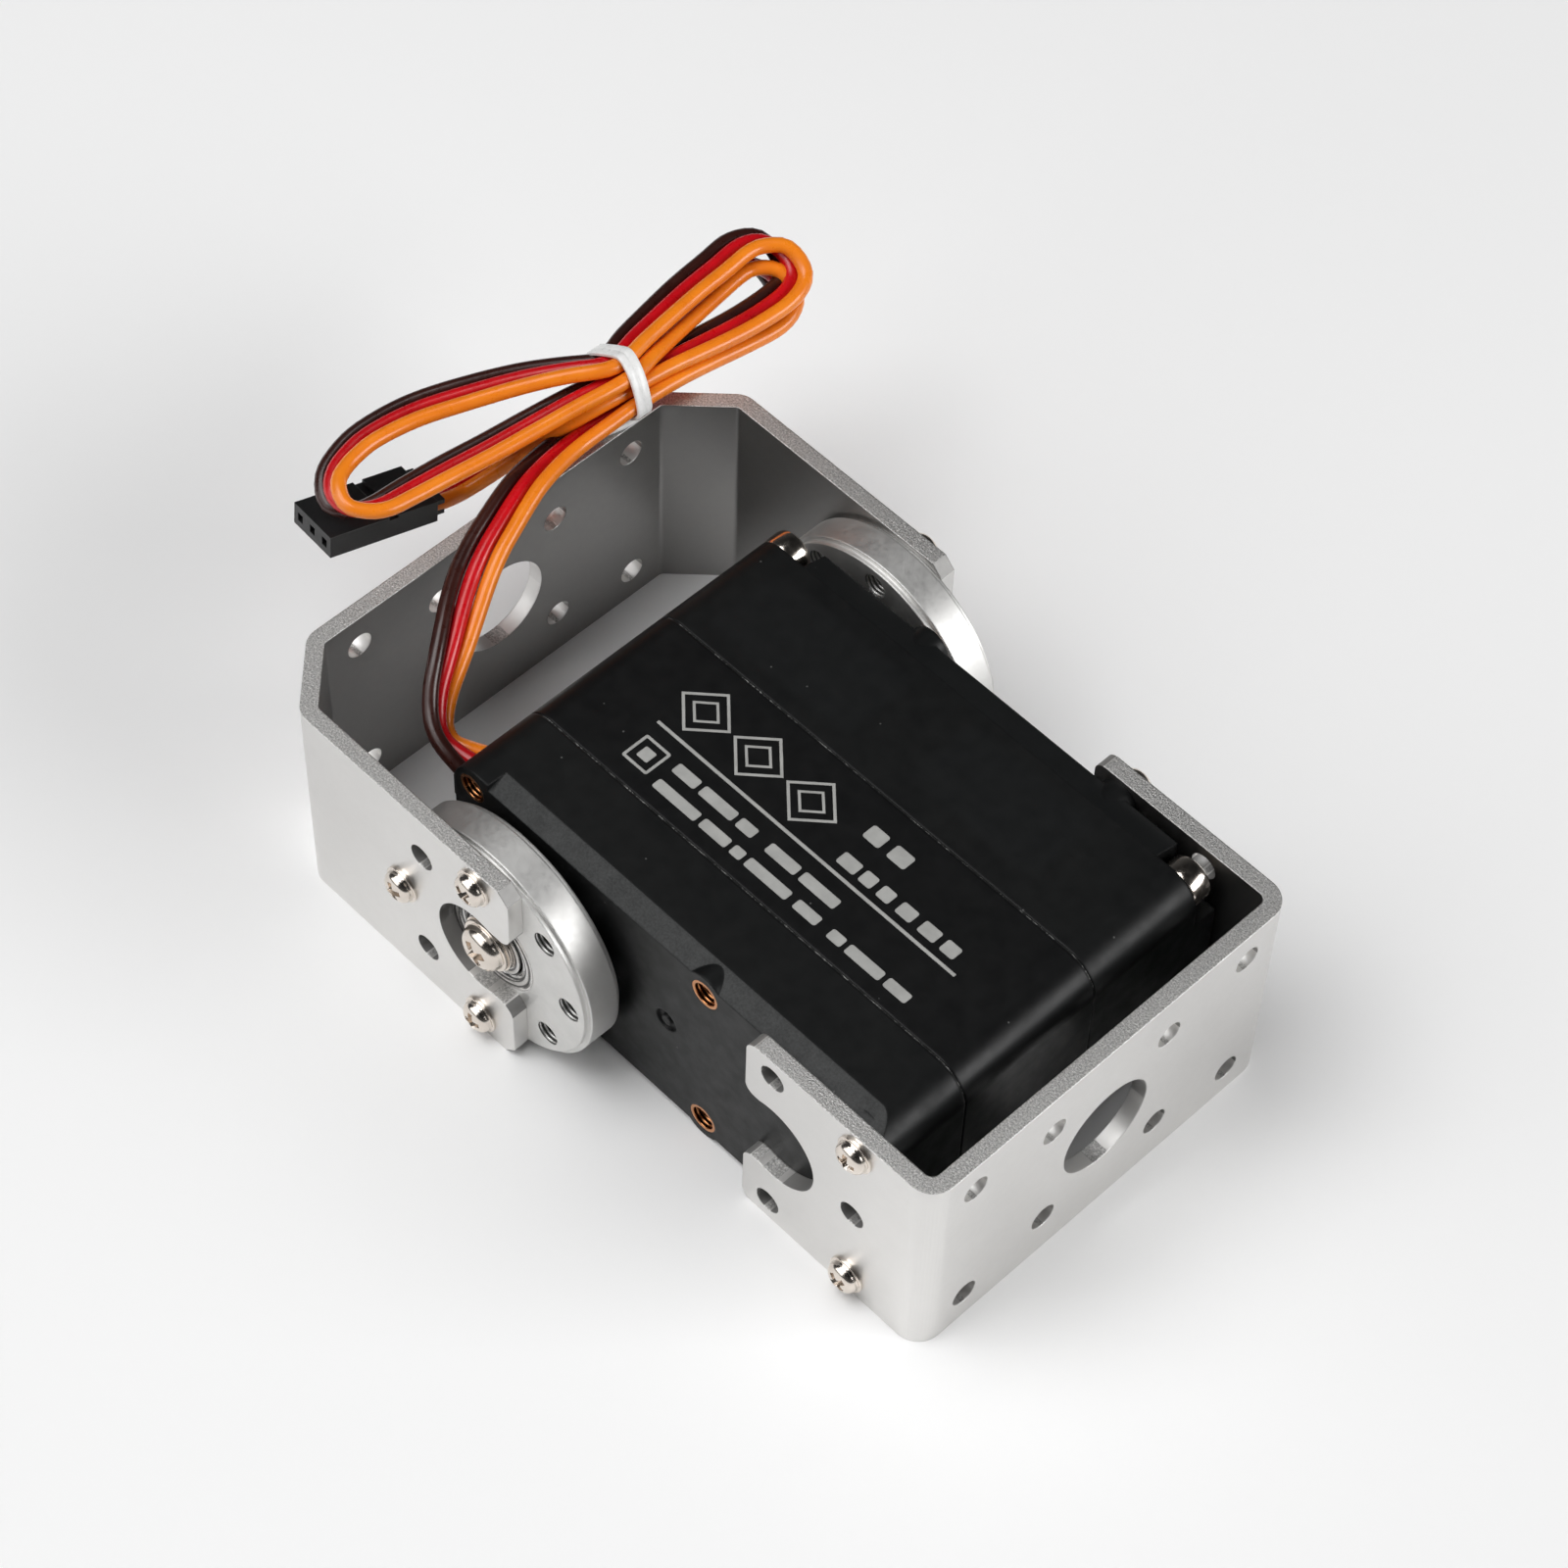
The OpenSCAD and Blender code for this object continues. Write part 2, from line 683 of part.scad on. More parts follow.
module motor_pinion() {
    color("#c7a253") placed() translate([motor_at[0], 0, motor_at[1]]) difference() {
        spur(stage_1[0], stage_1[1], motor_phase, [5.2, 7.4]);
        rod(1, 4, 8);
    }
}

module gear_axles() {
    color("#c4c6c8") placed() for (at = axles) rod(axle_r, axle_y[0], axle_y[1], at[0], at[1]);
}

module output_shaft() {
    color("#c4c6c8") placed() difference() {
        union() {
            spur(stage_4[0], stage_4[2], output_phase, layer_d);
            rod(shaft_r, 0.6, layer_d[0] + 1);
            rod(4, 5.1, layer_d[0] + 1);
            rod(5.8, layer_d[0] - 0.3, bearing_y[0]);
            rod(journal_r, layer_d[0], disc_in);
            along_y(disc_in - 1, arm_in - horn_recess - 0.2)
                polygon(spline_points(spline_r[0], spline_r[1]));
        }
        rod(m3_r, disc_in - 6, disc_in + 3);
    }
}

// ---- motor and electronics ----

module at_motor() {
    translate([motor_at[0], 0, motor_at[1]]) children();
}

module motor_can() {
    color("#9fa1a4") placed() at_motor() difference() {
        rod(motor_r[0], -12.6, floor_y);
        rod(motor_r[1], -12, 1);
        rod(3, 0, 2.2);
        rod(motor_nose_r, 0, 4);
        for (side = [-1, 1]) rod(0.8, 0, 4, side * motor_screw_side);
    }
}

module motor_stator() {
    color("#a5562c") placed() at_motor() difference() {
        rod(motor_r[1], -9.6, -0.4);
        rod(5.5, -11, 1);
        for (i = [0:5]) rotate([0, i * 60, 0]) translate([6, -11, -0.6]) cube([2.2, 12, 1.2]);
    }
}

module motor_bearings() {
    color("#b9babc") placed() at_motor() {
        ring(3, 1.05, 1, 2.2);
        ring(3, 1.05, -12, -10.6);
    }
}

module motor_rotor() {
    color("#6f7276") placed() at_motor() ring(5.2, 1, -9.2, -0.8);
}

module motor_shaft() {
    color("#c4c6c8") placed() at_motor() rod(1, -11.8, 8);
}

module motor_screws() {
    color("#c9c5bb") placed() at_motor() for (side = [-1, 1]) {
        rod(board_screw_r, 1.2, middle_y1, side * motor_screw_side);
        rod(1.6, middle_y1, middle_y1 + 0.5, side * motor_screw_side);
    }
}

module encoder_magnet() {
    color("#8c8f93") placed() rod(3, -1.4, 0.6);
}

module sensor_board() {
    color("#1f6b3a") placed() difference() {
        union() {
            translate([-5.5, -4, -11.5]) cube([11, 1.6, 23]);
            translate([-1.5, -2.4, -1.5]) cube([3, 0.6, 3]);
        }
        for (z = sensor_post_z) rod(board_hole_r, -5, 0, 0, z);
    }
}

module sensor_board_screws() {
    color("#c9c5bb") placed() for (z = sensor_post_z) {
        rod(board_screw_r, -4, 0.4, 0, z);
        rod(1.5, -4.9, -4, 0, z);
    }
}

module driver_board() {
    color("#1f6b3a") placed() difference() {
        translate([-4.5, board_y, -8.8]) cube([52, board_t, 17.6]);
        for (x = board_screw_x) rod(board_hole_r, board_y - 1, board_y + board_t + 1, x, board_screw_z);
    }
}

module driver_board_parts() {
    color("#2e2f31") placed() translate([0, board_y + board_t, 0]) {
        translate([10, 0, -6]) cube([7, 1.2, 7]);
        for (i = [0:5]) translate([21 + i * 3.8, 0, -4]) cube([3, 1, 3.4]);
        for (x = [-1, 22]) translate([x, 0, 2]) cube([4, 1.4, 3]);
        rod(2, 0, 2.8, 2, -4);
    }
}

module driver_board_screws() {
    color("#c9c5bb") placed() for (x = board_screw_x) {
        rod(board_screw_r, board_screw_tip, board_y + board_t, x, board_screw_z);
        rod(1.5, board_y + board_t, board_y + board_t + 0.8, x, board_screw_z);
    }
}

module phase_leads() {
    color("#7d2b24") placed() at_motor() for (i = [-1, 0, 1])
        rod(0.6, board_y + board_t, -12.6, i * 3, 5);
}

// ---- cable ----

// Level direction to the right of the route at point i
function right_of(i) = let (n = len(cable_route) - 1,
    d = cable_route[min(i + 1, n)] - cable_route[max(i - 1, 0)])
    [d[1], -d[0], 0] / norm([d[0], d[1]]);
function wire_path(side) = [for (i = [0:len(cable_route) - 1])
    cable_route[i] + side * wire_pitch * (i == 0 ? [0, 1, 0] : right_of(i))];

// One tube: an eight-sided ring at each point of the path, closed at both ends
module wire_tube(path) {
    n = len(path);
    sides = 8;
    rings = [for (i = [0:n - 1])
        let (d = path[min(i + 1, n - 1)] - path[max(i - 1, 0)],
            w = cross([0, 0, 1], d), u = w / norm(w),
            t = cross(d, u), v = t / norm(t))
        for (k = [0:sides - 1]) let (a = k * 360 / sides)
            path[i] + wire_d / 2 * (cos(a) * u + sin(a) * v)];
    walls = [for (i = [0:n - 2], k = [0:sides - 1]) let (m = (k + 1) % sides)
        [i * sides + k, i * sides + m, (i + 1) * sides + m, (i + 1) * sides + k]];
    ends = [[for (k = [sides - 1:-1:0]) k], [for (k = [0:sides - 1]) (n - 1) * sides + k]];
    polyhedron(points = rings, faces = concat(walls, ends), convexity = 8);
}

module cable_brown() {
    color("#3a1c16") placed() wire_tube(wire_path(-1));
}
module cable_red() {
    color("#c0141c") placed() wire_tube(wire_path(0));
}
module cable_orange() {
    color("#ee8a1d") placed() wire_tube(wire_path(1));
}

module cable_grommet() {
    color("#1c1c1c") placed() {
        translate([grommet_x, cable_y - 3.6, cable_z - 1.7])
            cube([case_x0 - grommet_x, 7.2, 3.4]);
        cable_slot_block(case_x0, case_x0 + wall);
    }
}

// Outline of the tied hank: a wide loop over the plug, a waist, and a narrow loop
module hank_outline() {
    polygon(concat(
        arc_points([-44, -5.4], 7.9, 172, 344, 18),
        [[-36.4, 4], [-35.2, 12], [waist_x[1], tie_y[0] - 1], [waist_x[1], tie_y[1] + 1]],
        arc_points([-36.9, 44], 5.9, -8, 188, 16),
        [[waist_x[0], tie_y[1] + 1], [waist_x[0], tie_y[0] - 1], [-44.5, 16.2], [-48.8, 9.2],
            [-51.3, 2.5]]
    ));
}

module cable_hank() {
    color("#e07f1c") placed() translate([0, 0, hank_z[0]])
        linear_extrude(height = hank_z[1] - hank_z[0]) hank_outline();
}

module hank_tie() {
    width = waist_x[1] - waist_x[0];
    height = hank_z[1] - hank_z[0];
    color("#e8e6e2") placed() {
        difference() {
            translate([waist_x[0] - tie_t, tie_y[0], hank_z[0]])
                cube([width + 2 * tie_t, tie_y[1] - tie_y[0], height + tie_t]);
            translate([waist_x[0], tie_y[0] - 1, hank_z[0] - 1])
                cube([width, tie_y[1] - tie_y[0] + 2, height + 1]);
        }
        translate([waist_x[1] + tie_t, tie_y[0] - 0.7, hank_z[0] + 0.6]) cube([1.6, 4, 2.4]);
    }
}

// Puts the plug, drawn below its top face and pointing along -Y, under the hank's loop
module at_plug() {
    placed() translate(plug_at) rotate(plug_turn) children();
}

module at_contacts(y, z) {
    for (i = [-1, 0, 1]) translate([i * contact_pitch - contact_w / 2, y, z]) children();
}

module cable_plug() {
    half = [plug_size[0] / 2, plug_size[1] / 2];
    color("#161616") at_plug() difference() {
        union() {
            translate([-half[0], -half[1], -plug_size[2]]) cube(plug_size);
            translate([-half[0] + 0.5, half[1], -2.3]) cube([plug_size[0] - 1, 1.2, 1.9]);
        }
        at_contacts(-half[1] - 1, -1.85) cube([contact_w, 11, contact_w]);
        translate([-half[0] - 1, 0.6, -0.4]) cube([plug_size[0] + 2, 1.2, 1]);
    }
}

module plug_contacts() {
    color("#caa548") at_plug() at_contacts(-plug_size[1] / 2 + 1.6, -1.85)
        cube([contact_w, 0.3, 0.35]);
}

idler_cover();
middle_case();
gear_case();
idler_side_gasket();
gear_side_gasket();
case_screws();
idler_side_inserts();
output_side_inserts();
short_bracket();
short_bracket_screws();
idler_post();
idler_post_screw();
idler_post_washer();
idler_bearing_inner_race();
idler_bearing_balls();
idler_bearing_outer_race();
output_bearing_inner_race();
output_bearing_balls();
output_bearing_outer_race();
output_seal();
shaft_bush();
gear_axles();
first_gear();
second_gear();
third_gear();
output_shaft();
encoder_magnet();
sensor_board();
sensor_board_screws();
motor_can();
motor_stator();
motor_bearings();
motor_rotor();
motor_shaft();
motor_pinion();
motor_screws();
driver_board();
driver_board_parts();
driver_board_screws();
phase_leads();
cable_grommet();
cable_brown();
cable_red();
cable_orange();
cable_hank();
hank_tie();
cable_plug();
plug_contacts();
long_bracket();
output_disc();
idler_disc();
long_bracket_screws();
horn_screw();
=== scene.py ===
"""Looks of the powered tilt mount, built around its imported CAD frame."""

import math

import bmesh
import bpy
from mathutils import Matrix, Vector


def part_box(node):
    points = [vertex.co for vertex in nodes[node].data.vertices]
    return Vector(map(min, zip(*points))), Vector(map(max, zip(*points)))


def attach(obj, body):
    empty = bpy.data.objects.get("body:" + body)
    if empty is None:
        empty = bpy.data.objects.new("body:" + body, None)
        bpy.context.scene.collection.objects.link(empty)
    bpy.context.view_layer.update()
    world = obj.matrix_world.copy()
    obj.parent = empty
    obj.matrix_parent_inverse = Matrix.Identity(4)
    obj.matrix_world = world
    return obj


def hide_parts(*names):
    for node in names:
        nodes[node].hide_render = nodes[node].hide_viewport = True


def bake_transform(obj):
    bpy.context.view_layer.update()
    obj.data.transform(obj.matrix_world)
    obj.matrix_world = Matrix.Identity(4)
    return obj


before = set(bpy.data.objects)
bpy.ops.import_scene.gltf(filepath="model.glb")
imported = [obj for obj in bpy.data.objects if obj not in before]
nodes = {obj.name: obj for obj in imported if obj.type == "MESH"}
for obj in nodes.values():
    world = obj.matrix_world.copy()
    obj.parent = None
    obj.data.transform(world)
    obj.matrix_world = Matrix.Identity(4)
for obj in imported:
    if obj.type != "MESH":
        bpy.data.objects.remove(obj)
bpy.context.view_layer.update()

MM = 0.001
disc_low, disc_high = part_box("idler_disc")
SHAFT = (Vector(disc_low) + Vector(disc_high)) / 2
SHAFT.y = 0.0


def at(x, y, z):
    """A point given in mm about the shaft axis, in the frame's metres."""
    return Vector((x * MM, y * MM, z * MM)) + SHAFT


# ---- camera ----


def add_camera():
    """The photograph's view: azimuth, elevation and roll in degrees, the rest in mm."""
    azimuth, elevation, roll = (math.radians(a) for a in (44.089, 54.024, 2.284))
    distance, slide_x, slide_y, lens_y = 468.80, -9.7095, -0.2765, -1.2
    back = Vector((math.sin(azimuth) * math.cos(elevation),
                   -math.cos(azimuth) * math.cos(elevation), math.sin(elevation)))
    right = Vector((math.cos(azimuth), math.sin(azimuth), 0))
    up = back.cross(right)
    right, up = (right * math.cos(roll) + up * math.sin(roll),
                 up * math.cos(roll) - right * math.sin(roll))
    place = back * distance - right * slide_x - up * slide_y
    data = bpy.data.cameras.new("camera")
    data.sensor_width = 36.0
    data.lens = 98.81
    data.clip_start = 0.01
    camera = bpy.data.objects.new("camera", data)
    bpy.context.collection.objects.link(camera)
    turn = Matrix((right, up, back)).transposed().to_4x4()
    camera.matrix_world = Matrix.Translation(at(place.x, place.y + lens_y, place.z)) @ turn
    bpy.context.scene.camera = camera


add_camera()


# ---- mesh helpers ----


def add_object(name, mesh, material, smooth=True):
    """A new object in the scene, with one material."""
    piece = bpy.data.objects.new(name, mesh)
    bpy.context.collection.objects.link(piece)
    mesh.materials.append(material)
    for face in mesh.polygons:
        face.use_smooth = smooth
    return piece


def mesh_from(name, points, faces):
    """A mesh from corner points and faces given as their indices."""
    mesh = bpy.data.meshes.new(name)
    mesh.from_pydata([tuple(p) for p in points], [], faces)
    mesh.update()
    return mesh


def smoothed(points, passes):
    """Points moved towards the mean of their neighbours; the two ends stay."""
    for _ in range(passes):
        points = [points[0]] + [
            (points[i - 1] + points[i] * 2 + points[i + 1]) / 4 for i in range(1, len(points) - 1)
        ] + [points[-1]]
    return points


def spline(controls, steps=10):
    """A Catmull-Rom curve through a list of vectors, in so many steps from one to the next."""
    ends = [controls[0] * 2 - controls[1]] + list(controls) + [controls[-1] * 2 - controls[-2]]
    result = []
    for i in range(len(controls) - 1):
        p0, p1, p2, p3 = ends[i:i + 4]
        for k in range(steps):
            t = k / steps
            result.append(0.5 * (2 * p1 + (p2 - p0) * t + (2 * p0 - 5 * p1 + 4 * p2 - p3) * t ** 2
                                 + (3 * p1 - 3 * p2 + p3 - p0) * t ** 3))
    return result + [controls[-1].copy()]


def evenly(points, step):
    """The same polyline with points a constant distance apart."""
    lengths = [0.0]
    for a, b in zip(points, points[1:]):
        lengths.append(lengths[-1] + (b - a).length)
    count = max(2, round(lengths[-1] / step))
    result, i = [], 0
    for k in range(count + 1):
        target = lengths[-1] * k / count
        while i < len(points) - 2 and lengths[i + 1] < target:
            i += 1
        span = max(lengths[i + 1] - lengths[i], 1e-12)
        result.append(points[i].lerp(points[i + 1], (target - lengths[i]) / span))
    return result


def length_of(points):
    """The length of a polyline."""
    return sum((b - a).length for a, b in zip(points, points[1:]))


def skin(rings, sides, closed=False):
    """Faces between neighbouring rings of points; closed joins the last ring to the first."""
    faces = []
    for i in range(rings if closed else rings - 1):
        j = (i + 1) % rings
        for k in range(sides):
            m = (k + 1) % sides
            faces.append((i * sides + k, i * sides + m, j * sides + m, j * sides + k))
    return faces


def tube(name, path, radius, sides=14):
    """A closed tube swept along path without twist."""
    points = []
    tangent = (path[1] - path[0]).normalized()
    normal = tangent.orthogonal().normalized()
    for i, point in enumerate(path):
        ahead = path[min(i + 1, len(path) - 1)] - path[max(i - 1, 0)]
        ahead.normalize()
        normal.rotate(tangent.rotation_difference(ahead))
        normal = (normal - ahead * normal.dot(ahead)).normalized()
        tangent = ahead
        side = tangent.cross(normal)
        for k in range(sides):
            a = 2 * math.pi * k / sides
            points.append(point + (normal * math.cos(a) + side * math.sin(a)) * radius)
    faces = skin(len(path), sides)
    last = (len(path) - 1) * sides
    faces.append(tuple(reversed(range(sides))))
    faces.append(tuple(last + k for k in range(sides)))
    return mesh_from(name, points, faces)


def lathe(name, profile, steps=64):
    """A closed solid of revolution about Z from (radius, height) pairs, axis to axis."""
    points, faces, rings = [], [], []
    for radius, height in profile:
        if radius == 0:
            rings.append([len(points)] * steps)
            points.append(Vector((0, 0, height)))
            continue
        rings.append(list(range(len(points), len(points) + steps)))
        for k in range(steps):
            a = 2 * math.pi * k / steps
            points.append(Vector((radius * math.cos(a), radius * math.sin(a), height)))
    for low, high in zip(rings, rings[1:]):
        for k in range(steps):
            m = (k + 1) % steps
            corners = [low[k], low[m], high[m], high[k]]
            unique = [c for i, c in enumerate(corners) if c not in corners[:i]]
            if len(unique) > 2:
                faces.append(tuple(unique))
    return mesh_from(name, points, faces)


def joined(name, meshes, matrices):
    """One mesh from copies of several, each moved by its matrix."""
    whole = bmesh.new()
    for mesh, matrix in zip(meshes, matrices):
        copy = mesh.copy()
        copy.transform(matrix)
        whole.from_mesh(copy)
        bpy.data.meshes.remove(copy)
    mesh = bpy.data.meshes.new(name)
    whole.to_mesh(mesh)
    whole.free()
    return mesh


def cut(mesh, cutter):
    """mesh with the closed mesh cutter taken away."""
    body = bpy.data.objects.new("cut_body", mesh)
    tool = bpy.data.objects.new("cut_tool", cutter)
    for piece in (body, tool):
        bpy.context.collection.objects.link(piece)
    modifier = body.modifiers.new("cut", "BOOLEAN")
    modifier.object = tool
    modifier.operation = "DIFFERENCE"
    modifier.solver = "EXACT"
    graph = bpy.context.evaluated_depsgraph_get()
    result = bpy.data.meshes.new_from_object(body.evaluated_get(graph))
    for piece in (body, tool):
        bpy.data.objects.remove(piece)
    return result


def sharpened(mesh, degrees=32):
    """Marks the edges sharper than an angle, so that smooth shading stops there."""
    work = bmesh.new()
    work.from_mesh(mesh)
    bmesh.ops.recalc_face_normals(work, faces=work.faces)
    for edge in work.edges:
        if len(edge.link_faces) == 2:
            edge.smooth = edge.calc_face_angle(0) < math.radians(degrees)
    work.to_mesh(mesh)
    work.free()
    return mesh


# ---- materials ----


def scaled(color, factor):
    """A colour made lighter or darker, at most white."""
    return tuple(min(1, c * factor) for c in color)


def with_alpha(value):
    """A colour of three parts with its alpha; anything else as it is."""
    return (*value, 1.0) if isinstance(value, tuple) and len(value) == 3 else value


class Surface:
    """A procedural material: its shader and short calls for the nodes that feed it."""

    def __init__(self, name, metal=0.0, specular=0.5, **sockets):
        self.material = bpy.data.materials.new(name)
        self.material.use_nodes = True
        self.tree = self.material.node_tree
        self.shader = self.tree.nodes["Principled BSDF"]
        self.set("Metallic", metal)
        self.set("Specular IOR Level", specular)
        for socket, value in sockets.items():
            self.set(socket.replace("_", " "), value)
        self.coords = self.node("ShaderNodeTexCoord")
        self.height = None

    def node(self, kind, **settings):
        """A new node with some of its properties set."""
        node = self.tree.nodes.new(kind)
        for key, value in settings.items():
            setattr(node, key, value)
        return node

    def link(self, value, socket):
        """Feeds a socket from another node's output, or sets it to a plain value."""
        if isinstance(value, bpy.types.NodeSocket):
            self.tree.links.new(value, socket)
        else:
            socket.default_value = value

    def set(self, socket, value):
        """Feeds or sets one of the shader's own sockets."""
        self.link(with_alpha(value), self.shader.inputs[socket])

    def set_roughness(self, low, high, scale=1.0, detail=3.0):
        """A roughness that wanders between two values."""
        self.set("Roughness", self.ramp(self.noise(scale, detail), 0.3, 0.7, low, high))

    def math(self, operation, a, b=0.0, c=0.0):
        """The output of a math node; a, b and c are outputs or numbers."""
        node = self.node("ShaderNodeMath", operation=operation)
        for value, socket in zip((a, b, c), node.inputs):
            self.link(value, socket)
        return node.outputs[0]

    def in_mm(self):
        """The object's own position in mm, as the vector that a texture takes."""
        mapping = self.node("ShaderNodeMapping")
        self.tree.links.new(self.coords.outputs["Object"], mapping.inputs["Vector"])
        mapping.inputs["Scale"].default_value = (1 / MM, 1 / MM, 1 / MM)
        return mapping.outputs[0]

    def noise(self, scale, detail=3.0, rough=0.55):
        """Noise with about `scale` features to the mm, from 0 to 1."""
        node = self.node("ShaderNodeTexNoise")
        self.tree.links.new(self.in_mm(), node.inputs["Vector"])
        node.inputs["Scale"].default_value = scale
        node.inputs["Detail"].default_value = detail
        node.inputs["Roughness"].default_value = rough
        return node.outputs["Fac"]

    def specks(self, scale, size, share):
        """Small round dots: `scale` cells to the mm, of which about `share` hold a dot."""
        node = self.node("ShaderNodeTexVoronoi")
        self.tree.links.new(self.in_mm(), node.inputs["Vector"])
        node.inputs["Scale"].default_value = scale
        split = self.node("ShaderNodeSeparateColor")
        self.tree.links.new(node.outputs["Color"], split.inputs[0])
        near = self.math("LESS_THAN", node.outputs["Distance"], size)
        chosen = self.math("LESS_THAN", split.outputs[0], share)
        return self.math("MULTIPLY", near, chosen)

    def axis(self, source, index):
        """One coordinate of the object's own position (in mm) or normal."""
        split = self.node("ShaderNodeSeparateXYZ")
        self.tree.links.new(self.coords.outputs[source], split.inputs[0])
        if source == "Object":
            offset = (SHAFT.x, 0.0, SHAFT.z)[index]
            moved = self.math("SUBTRACT", split.outputs[index], offset)
            return self.math("MULTIPLY", moved, 1 / MM)
        return split.outputs[index]

    def reach(self):
        """The distance in mm from the shaft axis."""
        x, z = self.axis("Object", 0), self.axis("Object", 2)
        squares = self.math("ADD", self.math("MULTIPLY", x, x), self.math("MULTIPLY", z, z))
        return self.math("SQRT", squares)

    def ramp(self, value, low, high, a=0.0, b=1.0):
        """value moved from the range low to high into the range a to b."""
        node = self.node("ShaderNodeMapRange")
        self.link(value, node.inputs["Value"])
        for key, number in (("From Min", low), ("From Max", high), ("To Min", a), ("To Max", b)):
            node.inputs[key].default_value = number
        return node.outputs[0]

    def mix(self, factor, a, b):
        """A colour between a, where factor is 0, and b, where it is 1."""
        node = self.node("ShaderNodeMix", data_type="RGBA")
        self.link(factor, node.inputs["Factor"])
        for value, socket in ((a, node.inputs[6]), (b, node.inputs[7])):
            self.link(with_alpha(value), socket)
        return node.outputs[2]

    def add_height(self, value, depth):
        """Adds a height field of `depth` mm to the surface's bump."""
        part = self.math("MULTIPLY", value, depth * MM)
        self.height = part if self.height is None else self.math("ADD", self.height, part)

    def finish(self, edge=0.0):
        """Links the bump, on edges rounded by `edge` mm, and returns the material."""
        normal = None
        if edge > 0:
            rounded = self.node("ShaderNodeBevel", samples=6)
            rounded.inputs["Radius"].default_value = edge * MM
            normal = rounded.outputs[0]
        if self.height is not None:
            bump = self.node("ShaderNodeBump")
            bump.inputs["Distance"].default_value = 1.0
            bump.inputs["Strength"].default_value = 1.0
            self.tree.links.new(self.height, bump.inputs["Height"])
            if normal is not None:
                self.tree.links.new(normal, bump.inputs["Normal"])
            normal = bump.outputs[0]
        if normal is not None:
            self.tree.links.new(normal, self.shader.inputs["Normal"])
        return self.material


def seam_filler():
    """The hair line between two shells: dark, with bright crumbs along it in broken runs."""
    s = Surface("seam_filler", specular=0.2)
    crumbs = s.math("MULTIPLY", s.ramp(s.noise(0.5, 4.0, 0.7), 0.45, 0.62),
                    s.ramp(s.noise(3.0, 2.0), 0.42, 0.56))
    s.set("Base Color", s.mix(crumbs, (0.02, 0.02, 0.02), (0.36, 0.36, 0.35)))
    s.set_roughness(0.5, 0.7)
    s.add_height(s.noise(4.0, 2.0), 0.02)
    return s.finish()


# A normal whose Z is beyond this belongs to a face that lies level
LEVEL_NORMAL = 0.985

# Faint raised patches on top of the case: centre x, y and half sizes, in mm from the shaft
PATCHES = ((3.5, 12.5, 10.5, 5.2), (31.0, 13.6, 9.0, 5.0))


def black_shell(name, color, lighter, rough, patches=False):
    """Moulded black plastic or black anodising, with paler, grainier bevels and dust."""
    s = Surface(name, specular=0.22)
    base = s.mix(s.ramp(s.noise(0.12, 4.0), 0.35, 0.7), color, lighter)
    normal_y = s.math("ABSOLUTE", s.axis("Normal", 1))
    normal_z = s.math("ABSOLUTE", s.axis("Normal", 2))
    # A bevel faces sideways and upwards at once
    bevel = s.math("MULTIPLY", s.math("GREATER_THAN", normal_y, 0.12),
                   s.math("GREATER_THAN", normal_z, 0.4))
    bevel = s.math("MULTIPLY", bevel, s.math("LESS_THAN", normal_z, LEVEL_NORMAL))
    grain = s.ramp(s.noise(3.5, 3.0, 0.7), 0.35, 0.75)
    pale = s.mix(grain, scaled(lighter, 1.8), scaled(lighter, 5.0))
    idler_side = s.math("LESS_THAN", s.axis("Object", 1), 0.0)
    pale = s.mix(idler_side, scaled(color, 1.5), pale)
    base = s.mix(bevel, base, pale)
    if patches:
        x, y = s.axis("Object", 0), s.axis("Object", 1)
        raised = None
        for cx, cy, hx, hy in PATCHES:
            dx = s.math("SUBTRACT", s.math("ABSOLUTE", s.math("SUBTRACT", x, cx)), hx)
            dy = s.math("SUBTRACT", s.math("ABSOLUTE", s.math("SUBTRACT", y, cy)), hy)
            inside = s.ramp(s.math("SMOOTH_MAX", dx, dy, 3.0), 0.6, -0.6)
            raised = inside if raised is None else s.math("MAXIMUM", raised, inside)
        top = s.math("GREATER_THAN", s.axis("Normal", 2), 0.95)
        base = s.mix(s.math("MULTIPLY", raised, top), base, scaled(color, 1.5))
    dust = s.math("MULTIPLY", s.specks(0.45, 0.05, 0.3), 0.35)
    s.set("Base Color", s.mix(dust, base, (0.22, 0.22, 0.215)))
    s.set_roughness(rough - 0.05, rough + 0.06, scale=0.5)
    s.add_height(s.noise(7.0, 2.0), 0.006)
    s.add_height(s.noise(1.2, 2.0), 0.006)
    return s.finish(edge=0.35)


